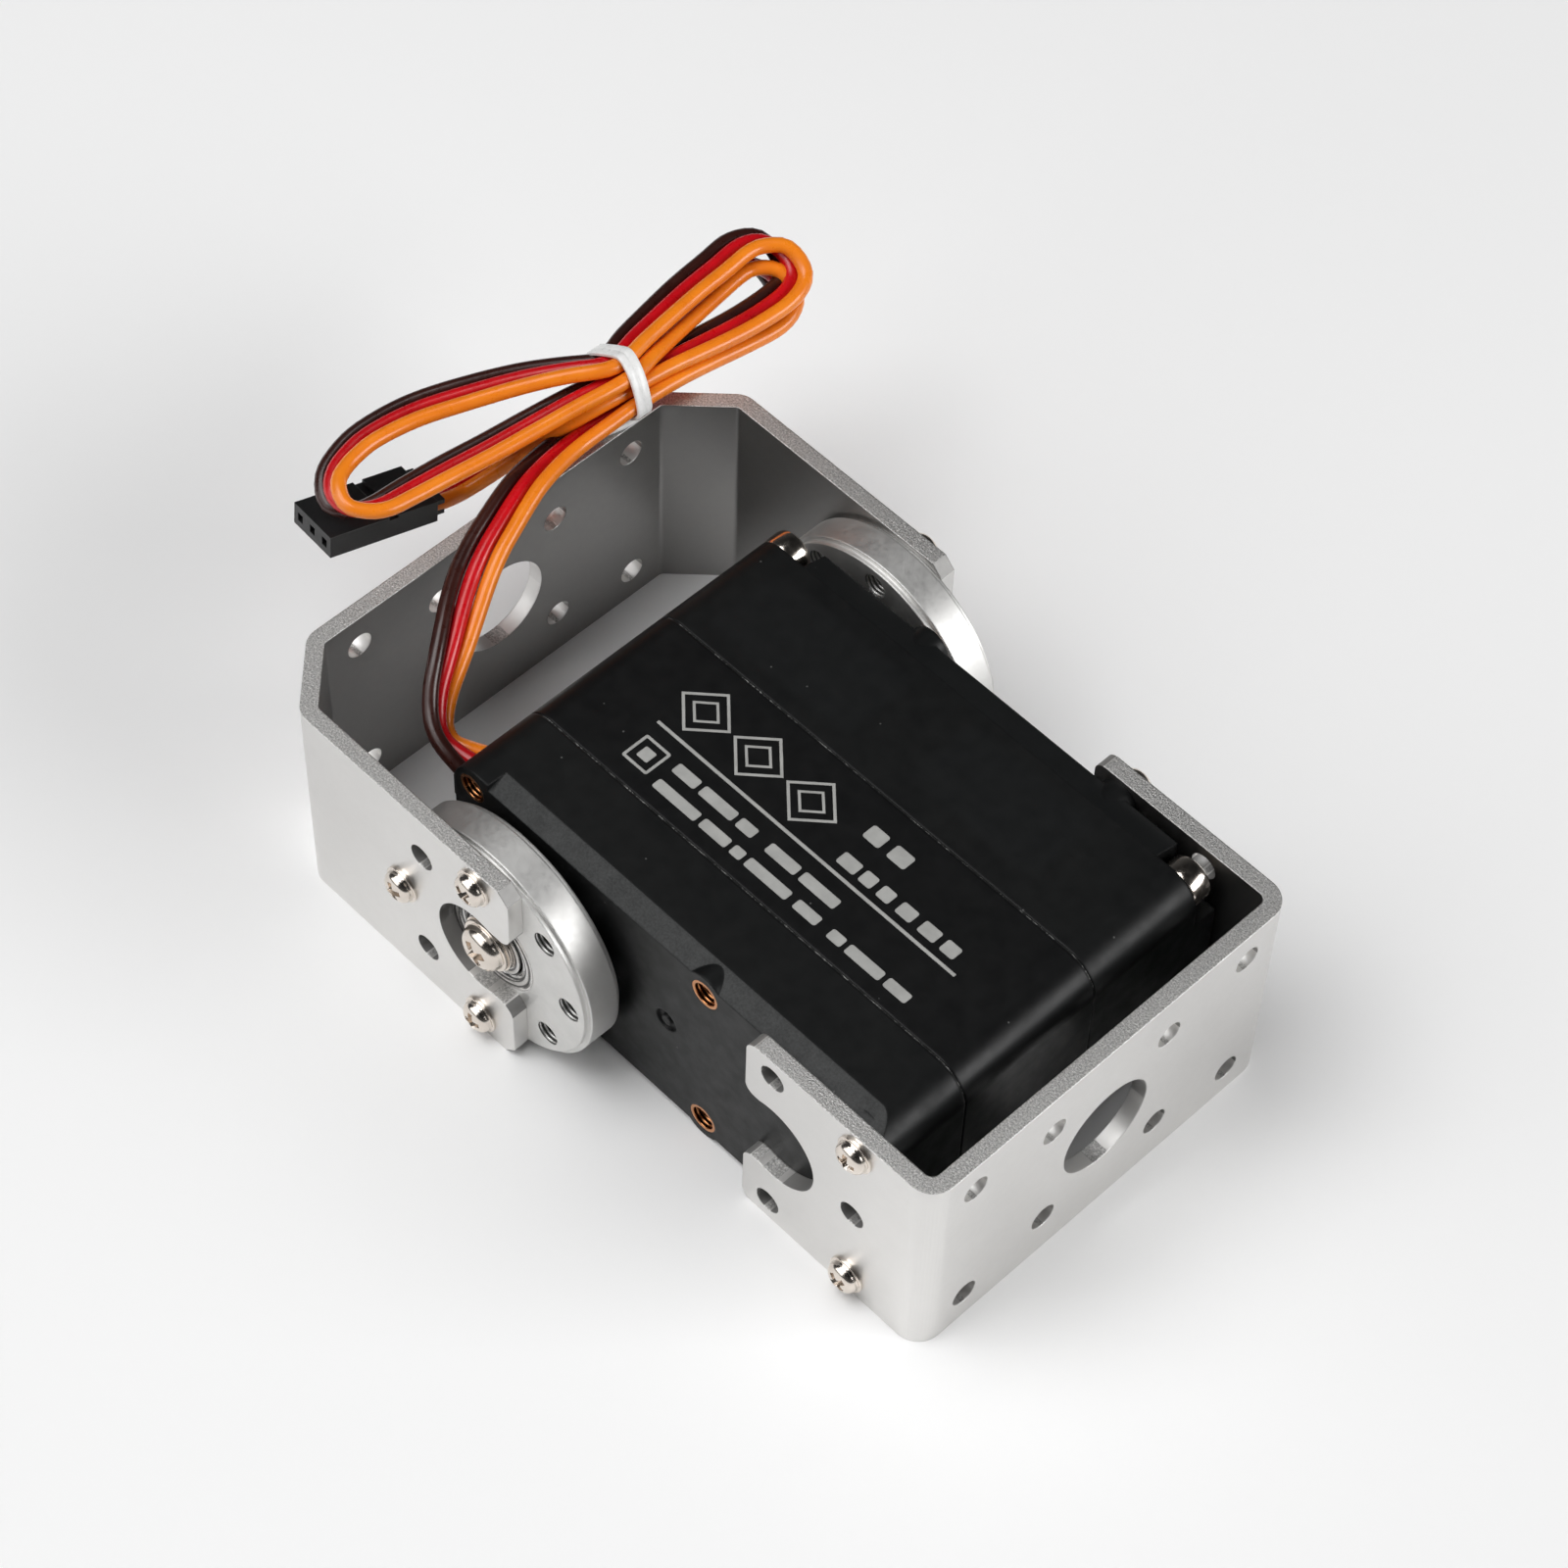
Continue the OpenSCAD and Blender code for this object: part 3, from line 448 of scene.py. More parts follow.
def blasted_aluminium(name, color, rough, edge=0.22):
    """Bead-blasted sheet: satin outer faces, inner faces and tilted walls along x darkened with
    painted shade, sparkling sheared edges.
    """
    middle_x, deepest = 10.0, -8.0
    wall_normal, arm_normal = 0.2, 0.3
    s = Surface(name, metal=1.0)
    normal_x, normal_y = s.axis("Normal", 0), s.axis("Normal", 1)
    from_middle = s.math("SUBTRACT", s.axis("Object", 0), middle_x)
    outward = s.math("ADD", s.math("MULTIPLY", normal_x, from_middle),
                     s.math("MULTIPLY", normal_y, s.axis("Object", 1)))
    inner = s.math("LESS_THAN", outward, deepest)
    level = s.math("ABSOLUTE", s.axis("Normal", 2))
    wall = s.math("GREATER_THAN", level, wall_normal)
    on_arm = s.math("GREATER_THAN", s.math("ABSOLUTE", normal_x), arm_normal)
    painted_shade_arm_wall = s.math("MULTIPLY", wall, on_arm)
    sheared = s.math("GREATER_THAN", level, LEVEL_NORMAL)
    cloud = s.ramp(s.noise(0.08, 3.0), 0.3, 0.7)
    face = s.mix(cloud, color, scaled(color, 0.96))
    # Painted shade: inner faces, turned towards the middle of the bracket, are darkened to under
    # half their colour.
    face = s.mix(inner, face, scaled(color, 0.46))
    face = s.mix(wall, face, scaled(color, 1.1))
    # Painted shade: tilted walls that also face along x, such as slot and hole walls and tip
    # chamfers, are darkened to half their colour.
    face = s.mix(painted_shade_arm_wall, face, scaled(color, 0.5))
    grains = s.ramp(s.noise(4.6, 3.0, 0.7), 0.38, 0.66)
    cut_face = s.mix(grains, scaled(color, 0.55), scaled(color, 1.15))
    s.set("Base Color", s.mix(sheared, face, cut_face))
    grit = s.ramp(s.noise(5.0, 3.0, 0.7), 0.3, 0.7, 0.32, 0.6)
    satin = s.ramp(s.noise(1.0, 3.0), 0.3, 0.7, rough - 0.03, rough + 0.04)
    satin = s.math("ADD", satin, s.math("MULTIPLY", s.math("ADD", wall, painted_shade_arm_wall), 0.16))
    mixed = s.node("ShaderNodeMix")
    s.link(sheared, mixed.inputs["Factor"])
    s.link(satin, mixed.inputs[2])
    s.link(grit, mixed.inputs[3])
    s.set("Roughness", mixed.outputs[0])
    s.add_height(s.math("MULTIPLY", s.noise(4.0, 4.0, 0.75), sheared), 0.08)
    s.add_height(s.noise(6.0, 2.0), 0.002)
    return s.finish(edge=edge)


THREAD_PITCH = 0.5


def turned_metal(name, color, rough, groove=0.0, ring=None, edge=0.15):
    """Machined metal. groove above 0 draws a thread along Y, with painted shade that makes its
    roots that much darker.

    ring limits the thread to a least and a greatest distance from the shaft axis.
    """
    s = Surface(name, metal=1.0)
    tone = s.ramp(s.noise(0.3, 4.0), 0.3, 0.7)
    base = s.mix(tone, color, scaled(color, 0.92))
    if groove > 0:
        wave = s.math("SINE", s.math("MULTIPLY", s.axis("Object", 1), 2 * math.pi / THREAD_PITCH))
        walls = s.math("LESS_THAN", s.math("ABSOLUTE", s.axis("Normal", 1)), 0.3)
        if ring:
            reach = s.reach()
            walls = s.math("MULTIPLY", walls, s.math("GREATER_THAN", reach, ring[0]))
            walls = s.math("MULTIPLY", walls, s.math("LESS_THAN", reach, ring[1]))
        # Painted shade in the thread roots: the colour darkens with the groove's wave.
        dark = s.math("MULTIPLY", s.ramp(wave, 0.2, -0.6), walls)
        base = s.mix(dark, base, scaled(color, groove))
        s.add_height(s.math("MULTIPLY", wave, walls), 0.06)
    s.set("Base Color", base)
    s.set_roughness(rough - 0.03, rough + 0.05, scale=1.4, detail=4.0)
    s.add_height(s.noise(3.0, 3.0), 0.0012)
    return s.finish(edge=edge)


def bearing_metal():
    """Ground steel whose flat faces carry turned rings about the shaft axis, their grooves
    darkened with painted shade.
    """
    ring_pitch = 0.72
    s = Surface("bearing_steel", metal=1.0)
    wave = s.math("SINE", s.math("MULTIPLY", s.reach(), 2 * math.pi / ring_pitch))
    face = s.math("GREATER_THAN", s.math("ABSOLUTE", s.axis("Normal", 1)), 0.5)
    # Painted shade: the grooves between the rings are darkened almost to black.
    dark = s.math("MULTIPLY", s.ramp(wave, 0.1, 0.7), face)
    s.set("Base Color", s.mix(dark, (0.62, 0.61, 0.6), (0.06, 0.06, 0.06)))
    s.set_roughness(0.16, 0.26, scale=1.4)
    s.add_height(s.math("MULTIPLY", wave, face), 0.03)
    return s.finish(edge=0.1)


def glossy_wire(name, color, darker):
    """Soft PVC insulation: glossy, a little uneven, with faint handling marks."""
    s = Surface(name, specular=0.42, Coat_Weight=0.22, Coat_Roughness=0.1)
    s.set("Base Color", s.mix(s.ramp(s.noise(0.25, 3.0), 0.35, 0.7), color, darker))
    s.set_roughness(0.24, 0.36, scale=0.9, detail=4.0)
    s.add_height(s.noise(1.1, 3.0), 0.018)
    return s.finish()


def plain_plastic(name, color, rough, grain=0.008):
    """Moulded plastic or rubber with a slight cloud of colour and a fine grain."""
    s = Surface(name)
    s.set("Base Color", s.mix(s.ramp(s.noise(0.4, 4.0), 0.35, 0.7), color, scaled(color, 0.8)))
    s.set_roughness(rough - 0.05, rough + 0.08, scale=1.5)
    s.add_height(s.noise(5.0, 3.0), grain)
    return s.finish(edge=0.12)


def copper_winding():
    """Enamelled wire wound in turns that lie level, with painted shade between the turns and
    painted highlight on them.
    """
    wire_pitch = 0.35
    s = Surface("copper_winding", metal=1.0)
    turns = s.math("SINE", s.math("MULTIPLY", s.axis("Object", 2), 2 * math.pi / wire_pitch))
    # Painted shade and highlight: the colour follows the turns' wave, dark between them and bright
    # on them.
    s.set("Base Color", s.mix(s.ramp(turns, -1, 1), (0.35, 0.09, 0.03), (0.78, 0.3, 0.14)))
    s.set_roughness(0.22, 0.38)
    s.add_height(turns, 0.05)
    return s.finish()


def circuit_board():
    """Green solder mask over blotches of copper."""
    s = Surface("circuit_board", specular=0.5, Coat_Weight=0.5, Coat_Roughness=0.15)
    tracks = s.ramp(s.noise(0.7, 1.0, 0.3), 0.47, 0.5)
    s.set("Base Color", s.mix(tracks, (0.01, 0.09, 0.035), (0.015, 0.16, 0.06)))
    s.set_roughness(0.3, 0.45)
    s.add_height(tracks, 0.02)
    return s.finish(edge=0.1)


case_plastic = black_shell("case_plastic", (0.0048, 0.0052, 0.0054), (0.0068, 0.0072, 0.0072),
                           0.42, patches=True)
case_metal = black_shell("case_metal", (0.0042, 0.0044, 0.0047), (0.0058, 0.006, 0.0062), 0.38)
bracket_metal = blasted_aluminium("bracket_metal", (0.76, 0.75, 0.735), 0.34)
disc_metal = turned_metal("disc_metal", (0.74, 0.735, 0.72), 0.5, groove=0.35, ring=(9.8, 13.9),
                          edge=0.3)
nickel = turned_metal("nickel", (0.80, 0.73, 0.66), 0.16, edge=0.08)
brass = turned_metal("brass", (0.62, 0.27, 0.11), 0.24, groove=0.15, edge=0.1)
bronze = turned_metal("bronze", (0.5, 0.3, 0.15), 0.4)
steel = turned_metal("steel", (0.55, 0.55, 0.56), 0.3)
bearing_steel = bearing_metal()
motor_shell = turned_metal("motor_shell", (0.4, 0.41, 0.42), 0.3)
rubber = plain_plastic("black_rubber", (0.016, 0.016, 0.016), 0.6)
lead_rubber = plain_plastic("lead_rubber", (0.22, 0.03, 0.025), 0.45)
package = plain_plastic("board_packages", (0.02, 0.02, 0.022), 0.5)
plug_black = plain_plastic("plug_black", (0.009, 0.009, 0.0095), 0.34, grain=0.012)
gold = turned_metal("gold_contacts", (0.85, 0.6, 0.25), 0.2)
tie_plastic = plain_plastic("tie_plastic", (0.93, 0.93, 0.92), 0.28, grain=0.002)
wire_brown = glossy_wire("wire_brown", (0.040, 0.0095, 0.0065), (0.026, 0.0065, 0.005))
wire_red = glossy_wire("wire_red", (0.62, 0.004, 0.010), (0.5, 0.003, 0.008))
wire_orange = glossy_wire("wire_orange", (0.90, 0.245, 0.012), (0.82, 0.2, 0.01))
print_grey = plain_plastic("label_print", (0.40, 0.40, 0.385), 0.5, grain=0.004)

NODE_LOOKS = {
    case_plastic: ("idler_cover", "gear_case"),
    case_metal: ("middle_case",),
    bracket_metal: ("short_bracket", "long_bracket"),
    disc_metal: ("output_disc", "idler_disc"),
    nickel: ("case_screws", "short_bracket_screws", "long_bracket_screws", "idler_post_screw",
             "horn_screw", "idler_post_washer", "sensor_board_screws", "driver_board_screws",
             "motor_screws"),
    brass: ("idler_side_inserts", "output_side_inserts", "motor_pinion", "first_gear"),
    gold: ("plug_contacts",),
    bronze: ("shaft_bush",),
    steel: ("idler_post", "gear_axles", "second_gear", "third_gear", "output_shaft",
            "motor_shaft", "encoder_magnet"),
    bearing_steel: ("idler_bearing_inner_race", "idler_bearing_outer_race",
                    "idler_bearing_balls", "output_bearing_inner_race",
                    "output_bearing_outer_race", "output_bearing_balls", "motor_bearings"),
    seam_filler(): ("idler_side_gasket", "gear_side_gasket"),
    rubber: ("output_seal", "cable_grommet"),
    motor_shell: ("motor_can", "motor_rotor"),
    copper_winding(): ("motor_stator",),
    circuit_board(): ("driver_board", "sensor_board"),
    package: ("driver_board_parts",),
    lead_rubber: ("phase_leads",),
    plug_black: ("cable_plug",),
}
for look, names in NODE_LOOKS.items():
    for name in names:
        nodes[name].data.materials.clear()
        nodes[name].data.materials.append(look)


# ---- cable ----

# Diameter of a wire and distance to the next one, in mm
WIRE_D = 1.8
WIRE_PITCH = 1.86
# Distance in mm between the points of a wire's path, and how often its curve is smoothed
WIRE_STEP = 0.9
WIRE_PASSES = 6

# Where the tie sits along the hank
TIE_Y = 21.2

# The red wire's free run from the case, in mm about the shaft axis; the last number is how
# far, in degrees, the ribbon of three wires is turned about the route from level
LEAD = [
    (-14.2, -19.6, 7.0, 0), (-16.6, -20.1, 7.1, -30), (-18.6, -20.4, 7.5, -50),
    (-20.3, -19.9, 8.2, -62), (-21.6, -18.8, 9.1, -66), (-22.7, -17.4, 10.3, -64),
    (-23.7, -15.7, 11.5, -58), (-25.2, -13.2, 12.8, -45), (-27.2, -10.1, 14.0, -28),
    (-29.1, -6.9, 15.0, -12), (-30.5, -3.8, 15.9, 0), (-31.6, -0.7, 16.5, 5),
    (-32.7, 2.4, 16.9, 10), (-33.6, 5.4, 17.1, 16), (-34.5, 9.5, 16.8, 22),
    (-35.0, 13.5, 16.4, 26), (-34.9, 17.5, 16.5, 29),
]
# The rest of the red wire, folded through the tie; the last number is how far, in degrees,
# the ribbon leans across the hank
FOLDS = [
    (-34.6, TIE_Y, 17.05, 30), (-34.5, 26.5, 16.8, 28), (-34.1, 32.0, 16.4, 24),
    (-33.5, 37.6, 15.9, 22), (-33.2, 42.3, 15.7, 22), (-34.2, 45.0, 16.1, 24),
    (-36.7, 46.1, 17.0, 26), (-39.2, 45.0, 18.0, 24), (-40.2, 42.3, 18.4, 20),
    (-39.6, 37.0, 18.5, 18), (-38.6, 31.0, 18.8, 20), (-37.4, 26.0, 19.3, 26),
    (-36.2, TIE_Y, 19.8, 30), (-37.4, 15.0, 19.3, 28), (-38.5, 9.8, 18.6, 26),
    (-39.5, 4.6, 18.0, 25), (-40.6, -0.5, 17.5, 25), (-41.4, -5.5, 17.2, 28),
    (-42.0, -9.2, 17.1, 33), (-43.8, -11.6, 17.2, 37), (-46.3, -11.9, 17.6, 38),
    (-48.4, -10.0, 18.0, 35), (-49.3, -7.0, 18.4, 29), (-49.4, -3.8, 18.8, 24),
    (-48.4, 1.4, 19.2, 18), (-46.3, 6.6, 19.6, 16), (-43.2, 12.9, 20.1, 20),
    (-40.3, 17.4, 20.5, 26),
    (-37.8, TIE_Y, 20.75, 30), (-38.6, 25.5, 20.8, 26), (-39.3, 30.0, 20.8, 22),
    (-40.0, 35.0, 20.8, 18), (-40.4, 40.0, 20.8, 16), (-40.6, 43.8, 21.0, 16),
    (-39.6, 46.5, 20.6, 16), (-37.1, 47.6, 19.6, 18), (-34.6, 46.5, 18.6, 18),
    (-33.6, 43.8, 18.3, 18), (-33.8, 38.5, 18.1, 18), (-34.5, 33.0, 18.2, 20),
    (-35.5, 27.0, 18.2, 26), (-36.2, TIE_Y, 17.98, 30), (-37.3, 16.5, 17.4, 28),
    (-39.4, 12.4, 15.3, 22), (-41.6, 8.9, 12.6, 12),
]
PLUG_TURN = (-11, -10, -8)
PLUG_TOP = at(-46.2, -7.5, 12.9)
PLUG_LENGTH = 13.8
PLUG_HEIGHT = 2.7
CONTACT_PITCH = 2.54
# How the wires enter the plug: mm behind its end, and their spread in contact pitches
PLUG_ENTRY = ((5.2, 0.8), (2.2, 1.0), (0.8, 1.0), (-2.0, 1.0))


def plug_matrix():
    """Takes the plug's own axes, in metres from the middle of its top, into the frame."""
    turn = Matrix.Identity(4)
    for angle, axis in zip(PLUG_TURN, "XYZ"):
        turn = Matrix.Rotation(math.radians(angle), 4, axis) @ turn
    return Matrix.Translation(PLUG_TOP) @ turn


def wire_controls(side):
    """Control points of one wire: side is -1 brown, 0 red, 1 orange."""
    route = [Vector(p[:3]) for p in LEAD + FOLDS]
    points = []
    for i, (x, y, z, turn) in enumerate(LEAD + FOLDS):
        ahead = (route[min(i + 1, len(route) - 1)] - route[max(i - 1, 0)]).normalized()
        cosine, sine = math.cos(math.radians(turn)), math.sin(math.radians(turn))
        if i == 0:
            across = Vector((0, 1, 0))
        elif i < len(LEAD):
            level = Vector((ahead.y, -ahead.x, 0)).normalized()
            across = level * cosine + level.cross(ahead) * sine
        else:
            across = Vector((cosine, 0, sine))
            across = (across - ahead * across.dot(ahead)).normalized()
        points.append(at(*(Vector((x, y, z)) + across * side * WIRE_PITCH)))
    plug = plug_matrix()
    for back, spread in PLUG_ENTRY:
        local = Vector((side * CONTACT_PITCH * spread, PLUG_LENGTH / 2 + back, -PLUG_HEIGHT / 2))
        points.append(plug @ (local * MM))
    return points


def add_wire(name, side, material, replaced):
    """One of the three wires, from the grommet to the plug; returns its path."""
    path = evenly(smoothed(spline(wire_controls(side)), WIRE_PASSES), WIRE_STEP * MM)
    wire = add_object(name, tube(name, path, WIRE_D / 2 * MM), material)
    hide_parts(*replaced)
    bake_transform(wire)
    return path


# The band round the wires, in mm: half its width, its thickness, its gap before smoothing, and
# how far it shifts along the hank for each mm of height
TIE_HALF_WIDTH = 1.0
TIE_THICK = 0.42
TIE_GAP = 0.25
TIE_SLANT = 0.22
TIE_POINTS = 96
TIE_PASSES = 36
# From one wire to the next in x and z, where the ribbons pass through the tie
RIBBON_STEP = (1.61, 0.93)
TIE_TAIL = ((-33.0, TIE_Y, 15.9), (-33.1, 20.2, 15.55), (-33.4, 18.9, 15.5),
            (-33.7, 17.6, 15.55), (-34.0, 16.5, 15.65))
TIE_TAIL_R = 0.38


def tie_outline():
    """The band's inner line and its middle, in mm, with the frame's z as the second part."""
    wires = [Vector((x + side * RIBBON_STEP[0], z + side * RIBBON_STEP[1], 0))
             for x, y, z, _ in FOLDS if y == TIE_Y for side in (-1, 0, 1)]
    middle = sum(wires, Vector()) / len(wires)
    ring = []
    for k in range(TIE_POINTS):
        a = 2 * math.pi * k / TIE_POINTS
        way = Vector((math.cos(a), math.sin(a), 0))
        farthest = max(wires, key=lambda wire: (wire - middle).dot(way))
        ring.append(farthest + way * (WIRE_D / 2 + TIE_GAP))
    for _ in range(TIE_PASSES):
        ring = [(ring[i - 1] + ring[i] * 2 + ring[(i + 1) % TIE_POINTS]) / 4
                for i in range(TIE_POINTS)]
    return ring, middle


def add_tie():
    """The white band round the folded wires, with its overlapping end."""
    ring, middle = tie_outline()
    half, low = TIE_HALF_WIDTH, TIE_THICK - 0.1
    section = [(-half, 0), (-half, low), (-half + 0.15, TIE_THICK), (-0.2, TIE_THICK), (0, low),
               (0.2, TIE_THICK), (half - 0.15, TIE_THICK), (half, low), (half, 0), (0, 0)]
    points = []
    for i, p in enumerate(ring):
        ahead = ring[(i + 1) % TIE_POINTS] - ring[i - 1]
        out = Vector((ahead.y, -ahead.x, 0)).normalized()
        if out.dot(p - middle) < 0:
            out = -out
        slant = (p.y - middle.y) * TIE_SLANT
        for along, away in section:
            q = p + out * away
            points.append(at(q.x, TIE_Y + slant + along, q.y))
    band = mesh_from("band", points, skin(TIE_POINTS, len(section), closed=True))
    tail_path = evenly(spline([at(*point) for point in TIE_TAIL]), 0.2 * MM)
    tail = tube("tail", tail_path, TIE_TAIL_R * MM)
    mesh = joined("hank_tie_band", [band, tail], [Matrix.Identity(4)] * 2)
    tie = add_object("hank_tie_band", sharpened(mesh, 50), tie_plastic)
    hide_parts("hank_tie")
    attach(tie, "tilt_arm")
    return tie


tie = add_tie()
paths = {
    "wire_brown": add_wire("wire_brown", -1, wire_brown, ("cable_brown",)),
    "wire_red": add_wire("wire_red", 0, wire_red, ("cable_red",)),
    "wire_orange": add_wire("wire_orange", 1, wire_orange, ("cable_orange", "cable_hank")),
}
for name, path in paths.items():
    print(name, "length in mm", round(length_of(path) / MM, 1))


# ---- screws ----

# Radius and height of each kind of head, in mm
PAN_HEAD = (2.3, 1.7)
POST_HEAD = (3.3, 2.2)
HORN_HEAD = (4.8, 1.8)
CAP_HEAD = (2.7, 2.9)
SHANK_LENGTH = 4.0
SHANK_R = 1.45
SOCKET_R = 1.35
SOCKET_DEPTH = 1.5


def phillips_cutter(radius, depth):
    """A tapered cross and its cone, that point down from z = 0, as closed meshes."""
    wing, tip = 0.86 * radius, 0.2 * radius
    wide, narrow = 0.19 * radius, 0.12 * radius
    cone_wide, cone_narrow, above = 0.34 * radius, 0.16 * radius, 0.6 * radius
    meshes = []
    for turn in (0, 90):
        corners = []
        for z, reach, half in ((above, wing * 1.25, wide), (-depth, tip, narrow)):
            corners += [(-reach, -half, z), (reach, -half, z), (reach, half, z), (-reach, half, z)]
        sides = [(3, 2, 1, 0), (4, 5, 6, 7), (0, 1, 5, 4), (1, 2, 6, 5), (2, 3, 7, 6),
                 (3, 0, 4, 7)]
        mesh = sharpened(mesh_from("wing", [Vector(c) for c in corners], sides))
        mesh.transform(Matrix.Rotation(math.radians(turn), 4, "Z"))
        meshes.append(mesh)
    cone = lathe("cone", [(0, -depth * 1.15), (cone_narrow, -depth), (cone_wide, above),
                          (0, above)], 24)
    return meshes + [sharpened(cone)]


def pan_screw_mesh(radius, height):
    """Pan head with a collar, a domed top and a Phillips recess, standing on z = 0."""
    crown, collar = radius * 0.86, height * 0.24
    spring, steps = collar + 0.1, 10
    profile = [(0, -SHANK_LENGTH), (SHANK_R, -SHANK_LENGTH), (SHANK_R, 0), (radius - 0.1, 0),
               (radius, 0.1), (radius, collar - 0.08), (radius - 0.08, collar),
               (crown + 0.04, collar + 0.02), (crown, spring)]
    for k in range(1, steps):
        a = math.radians(90 * k / steps)
        profile.append((crown * math.cos(a) ** 0.7,
                        spring + (height - spring) * math.sin(a) ** 0.85))
    profile.append((0, height))
    profile = [(r * MM, z * MM) for r, z in profile]
    mesh = sharpened(lathe("head", profile, 48))
    for cutter in phillips_cutter(radius * MM, height * 0.62 * MM):
        cutter.transform(Matrix.Translation((0, 0, height * MM)))
        mesh = cut(mesh, cutter)
    return sharpened(mesh, 28)


def facing(place, out, turn):
    """Places a screw drawn on z = 0 at a point, its head along out and turned by degrees."""
    aim = Vector(out).to_track_quat("Z", "Y").to_matrix().to_4x4()
    return Matrix.Translation(place) @ aim @ Matrix.Rotation(math.radians(turn), 4, "Z")


def add_screws(name, node, mesh, height, turns, body):
    """Draws every screw of a CAD node with a detailed head of this height in mm."""
    matrices = screw_places(node, height, turns)
    piece = add_object(name, joined(name, [mesh] * len(matrices), matrices), nickel)
    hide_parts(node)
    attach(piece, body)


def islands_of(node):
    """The low and high corner, in metres, of each separate solid of a CAD node."""
    work = bmesh.new()
    work.from_mesh(nodes[node].data)
    bmesh.ops.remove_doubles(work, verts=work.verts, dist=1e-6)
    work.verts.ensure_lookup_table()
    seen, found = set(), []
    for vertex in work.verts:
        if vertex.index in seen:
            continue
        stack, group = [vertex], []
        seen.add(vertex.index)
        while stack:
            v = stack.pop()
            group.append(v.co.copy())
            for edge in v.link_edges:
                other = edge.other_vert(v)
                if other.index not in seen:
                    seen.add(other.index)
                    stack.append(other)
        low = [min(c[i] for c in group) for i in range(3)]
        high = [max(c[i] for c in group) for i in range(3)]
        found.append((Vector(low), Vector(high)))
    work.free()
    return found


def screw_places(node, height, turns):
    """Matrices that set heads where the CAD screws of a node have theirs."""
    matrices = []
    for i, (low, high) in enumerate(sorted(islands_of(node), key=lambda b: tuple(b[0] + b[1]))):
        middle = (low + high) / 2
        out = 1 if middle.y > 0 else -1
        seat = (high.y if out > 0 else low.y) - out * height * MM
        matrices.append(facing((middle.x, seat, middle.z), (0, out, 0), turns[i % len(turns)]))
    return matrices


def cap_screw_mesh(radius, height):
    """Cheese head with rounded rims and a hexagonal socket, standing on z = 0."""
    profile = [(0, -SHANK_LENGTH), (SHANK_R, -SHANK_LENGTH), (SHANK_R, 0), (radius - 0.35, 0),
               (radius - 0.1, 0.1), (radius, 0.4), (radius, height - 0.75),
               (radius - 0.1, height - 0.35), (radius - 0.35, height - 0.1),
               (radius - 0.7, height), (0, height)]
    mesh = sharpened(lathe("cap", [(r * MM, z * MM) for r, z in profile], 48))
    floor, above = height - SOCKET_DEPTH, height + 1
    profile = [(0, floor), (SOCKET_R, floor), (SOCKET_R, above), (0, above)]
    socket = lathe("socket", [(r * MM, z * MM) for r, z in profile], 6)
    return sharpened(cut(mesh, sharpened(socket)), 28)


# The numbers are how far each head is turned, in degrees
pan = pan_screw_mesh(*PAN_HEAD)
add_screws("tilt_arm_pan_screws", "long_bracket_screws", pan, PAN_HEAD[1],
           (24, 71, 10, 52, 38, 83), "tilt_arm")
add_screws("fixed_arm_pan_screws", "short_bracket_screws", pan, PAN_HEAD[1],
           (64, 18, 47, 5), "case")
add_screws("idler_post_pan_screw", "idler_post_screw", pan_screw_mesh(*POST_HEAD), POST_HEAD[1],
           (33,), "case")
add_screws("horn_pan_screw", "horn_screw", pan_screw_mesh(*HORN_HEAD), HORN_HEAD[1],
           (12,), "tilt_arm")
add_screws("case_cap_screws", "case_screws", cap_screw_mesh(*CAP_HEAD), CAP_HEAD[1],
           (0,), "case")


# ---- bearing shield ----


def add_shield():
    """The pressed ring that closes the idler bearing, with its concentric folds."""
    face_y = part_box("idler_bearing_outer_race")[0][1]
    profile = [(4.45, 0.5), (4.45, 0.3), (4.6, 0.22), (4.78, 0.3), (4.95, 0.42), (5.12, 0.3),
               (5.3, 0.12), (5.45, 0.12), (5.45, 0.5), (4.45, 0.5)]
    mesh = lathe("shield", [(r * MM, z * MM) for r, z in profile], 96)
    mesh.transform(Matrix.Translation((SHAFT.x, face_y, SHAFT.z))
                   @ Matrix.Rotation(math.radians(-90), 4, "X"))
    shield = add_object("idler_bearing_shield", sharpened(mesh, 40), bearing_steel)
    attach(shield, "tilt_arm")


add_shield()


# ---- printed marks ----

# Rows of bars: y of the row, half its height, then where each bar starts and how wide it is
BAR_ROWS = (
    (-3.8, 0.85, ((24.6, 2.6), (27.8, 1.8), (30.4, 1.8), (33.2, 2.2), (36.4, 2.4), (39.6, 2.0))),
    (-8.45, 0.72, ((4.6, 3.4), (8.6, 5.0), (14.2, 2.4), (18.6, 4.4), (23.6, 5.2))),
    (-11.3, 0.68, ((4.6, 6.4), (11.6, 4.0), (16.2, 1.6), (18.4, 6.2), (25.6, 3.4), (30.6, 2.0),
                   (33.2, 5.0), (38.8, 3.2))),
)
# Thickness of the print, and its height above the case, in mm
INK_THICK = 0.018
INK_GAP = 0.02


def rounded_loop(cx, cy, hx, hy, r, steps=8):
    """Corner-rounded rectangle as a list of points: centre, half sizes and corner radius."""
    points = []
    for sx, sy, start in ((1, 1, 0), (-1, 1, 90), (-1, -1, 180), (1, -1, 270)):
        for k in range(steps + 1):
            a = math.radians(start + 90 * k / steps)
            points.append((cx + sx * (hx - r) + r * math.cos(a),
                           cy + sy * (hy - r) + r * math.sin(a)))
    return points


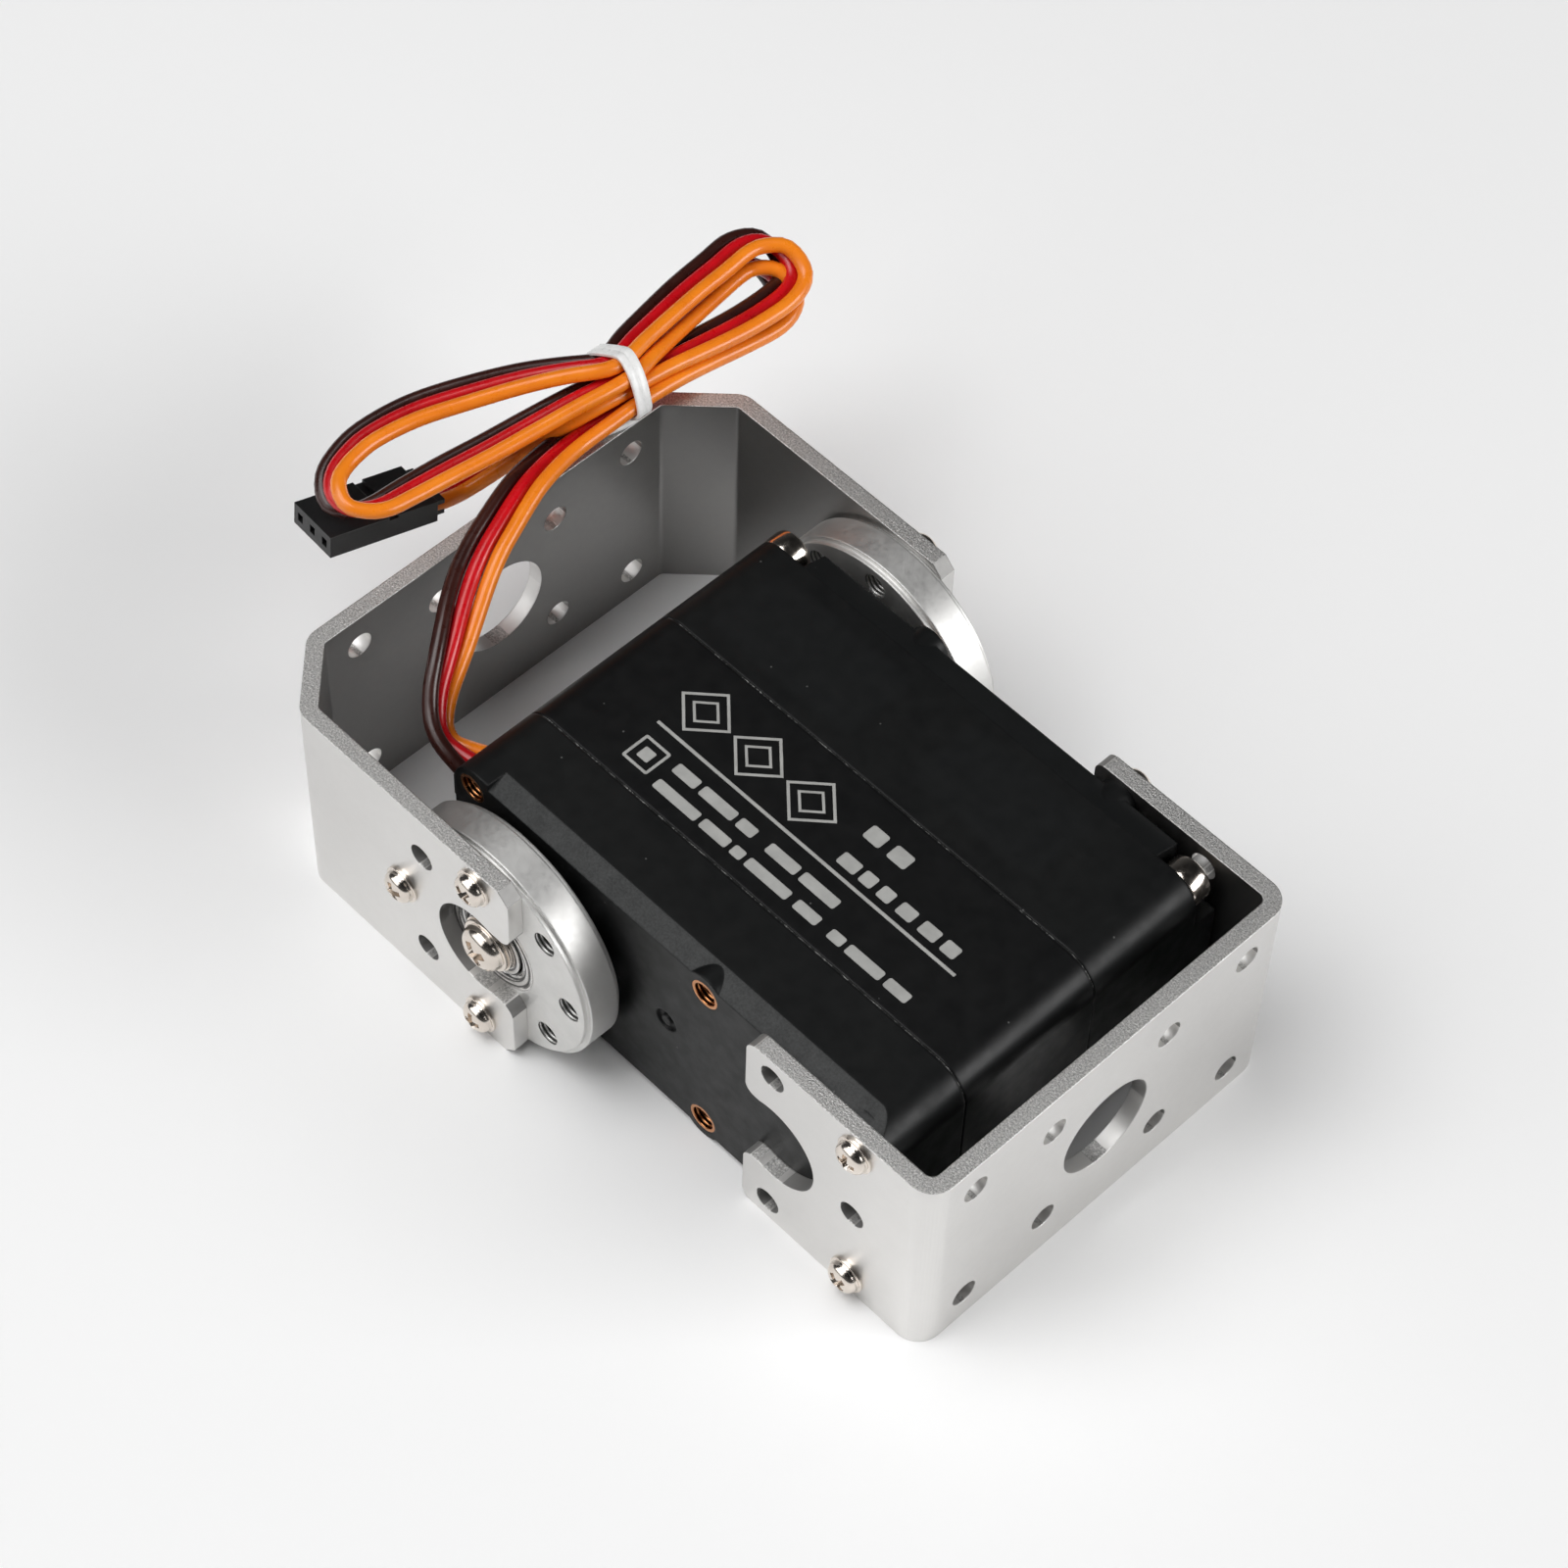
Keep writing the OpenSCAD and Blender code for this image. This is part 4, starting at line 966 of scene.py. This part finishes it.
def add_marks():
    """Abstract printed marks on the top of the middle case: rhombi, a rule, bars, a square."""
    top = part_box("middle_case")[1][2]
    work = bmesh.new()

    def point(x, y):
        return work.verts.new((SHAFT.x + x * MM, y * MM, top + INK_GAP * MM))

    def outline(cx, cy, hx, hy, r, line):
        outer = [point(*p) for p in rounded_loop(cx, cy, hx, hy, r)]
        inner = [point(*p) for p in rounded_loop(cx, cy, hx - line, hy - line, max(r - line, 0.1))]
        for i in range(len(outer)):
            j = (i + 1) % len(outer)
            work.faces.new((outer[i], outer[j], inner[j], inner[i]))

    def rhombus(cx, cy, hx, hy, line):
        corners = ((1, 0), (0, 1), (-1, 0), (0, -1))
        loops = [[point(cx + a * hx * k, cy + b * hy * k) for a, b in corners]
                 for k in (1.0, 1.0 - 1.4 * line / hy)]
        for i in range(4):
            j = (i + 1) % 4
            work.faces.new((loops[0][i], loops[0][j], loops[1][j], loops[1][i]))

    def filled(cx, cy, hx, hy, r):
        work.faces.new([point(*p) for p in rounded_loop(cx, cy, hx, hy, r, 4)])

    for cx in (1.6, 9.6, 17.6):
        rhombus(cx, -1.2, 3.8, 3.5, 0.34)
        rhombus(cx, -1.2, 2.1, 1.9, 0.3)
    filled(21.05, -5.75, 22.1, 0.21, 0.05)
    outline(1.35, -9.6, 1.9, 1.9, 0.3, 0.36)
    filled(1.35, -9.6, 0.8, 0.8, 0.2)
    for cx, hx in ((25.4, 1.2), (29.0, 1.3)):
        filled(cx, 0.6, hx, 1.0, 0.35)
    for row, half_high, bars in BAR_ROWS:
        for start, wide in bars:
            filled(start + wide / 2, row, wide / 2, half_high, 0.3)
    mesh = bpy.data.meshes.new("label_marks")
    work.to_mesh(mesh)
    work.free()
    marks = add_object("label_marks", mesh, print_grey, smooth=False)
    solid = marks.modifiers.new("thickness", "SOLIDIFY")
    solid.thickness = INK_THICK * MM
    solid.offset = 1.0
    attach(marks, "case")


add_marks()


# ---- floor and light ----


def floor_material():
    """Matt white, with a very slight broad cloud."""
    s = Surface("floor_white", specular=0.2)
    cloud = s.ramp(s.noise(0.004, 2.0), 0.3, 0.7)
    s.set("Base Color", s.mix(cloud, (0.93, 0.93, 0.93), (0.95, 0.95, 0.95)))
    s.set("Roughness", 0.9)
    return s.finish()


def add_floor():
    """A plain square floor at z = 0."""
    half = 3.0
    corners = [(-half, -half, 0), (half, -half, 0), (half, half, 0), (-half, half, 0)]
    mesh = mesh_from("floor", corners, [(0, 1, 2, 3)])
    floor = add_object("floor", mesh, floor_material(), smooth=False)


def add_light(name, place, target, size, energy):
    """A rectangular lamp at place that faces target."""
    data = bpy.data.lights.new(name, "AREA")
    data.shape = "RECTANGLE"
    data.size, data.size_y = size
    data.energy = energy
    light = bpy.data.objects.new(name, data)
    bpy.context.collection.objects.link(light)
    aim = (Vector(target) - Vector(place)).to_track_quat("-Z", "Y").to_matrix().to_4x4()
    light.matrix_world = Matrix.Translation(place) @ aim


def add_world(horizon, overhead):
    """A studio whose light changes from one strength near the horizon to another overhead."""
    world = bpy.data.worlds.new("studio")
    world.use_nodes = True
    tree = world.node_tree
    split = tree.nodes.new("ShaderNodeSeparateXYZ")
    tree.links.new(tree.nodes.new("ShaderNodeTexCoord").outputs["Generated"], split.inputs[0])
    level = tree.nodes.new("ShaderNodeMapRange")
    tree.links.new(split.outputs[2], level.inputs["Value"])
    for key, number in (("From Min", 0.25), ("From Max", 0.75), ("To Min", horizon),
                        ("To Max", overhead)):
        level.inputs[key].default_value = number
    tree.links.new(level.outputs[0], tree.nodes["Background"].inputs["Strength"])
    bpy.context.scene.world = world


add_floor()
add_world(1.15, 0.18)
centre = (0.0, 0.0, 0.02)
add_light("overhead", (-0.28, -0.3, 1.15), centre, (0.8, 0.8), 8.0)
add_light("front_left", (-0.45, -0.95, 0.75), centre, (1.2, 1.2), 7.5)
add_light("right", (1.1, 0.5, 0.56), centre, (0.95, 0.6), 12.5)
bpy.context.scene.view_settings.view_transform = "Standard"
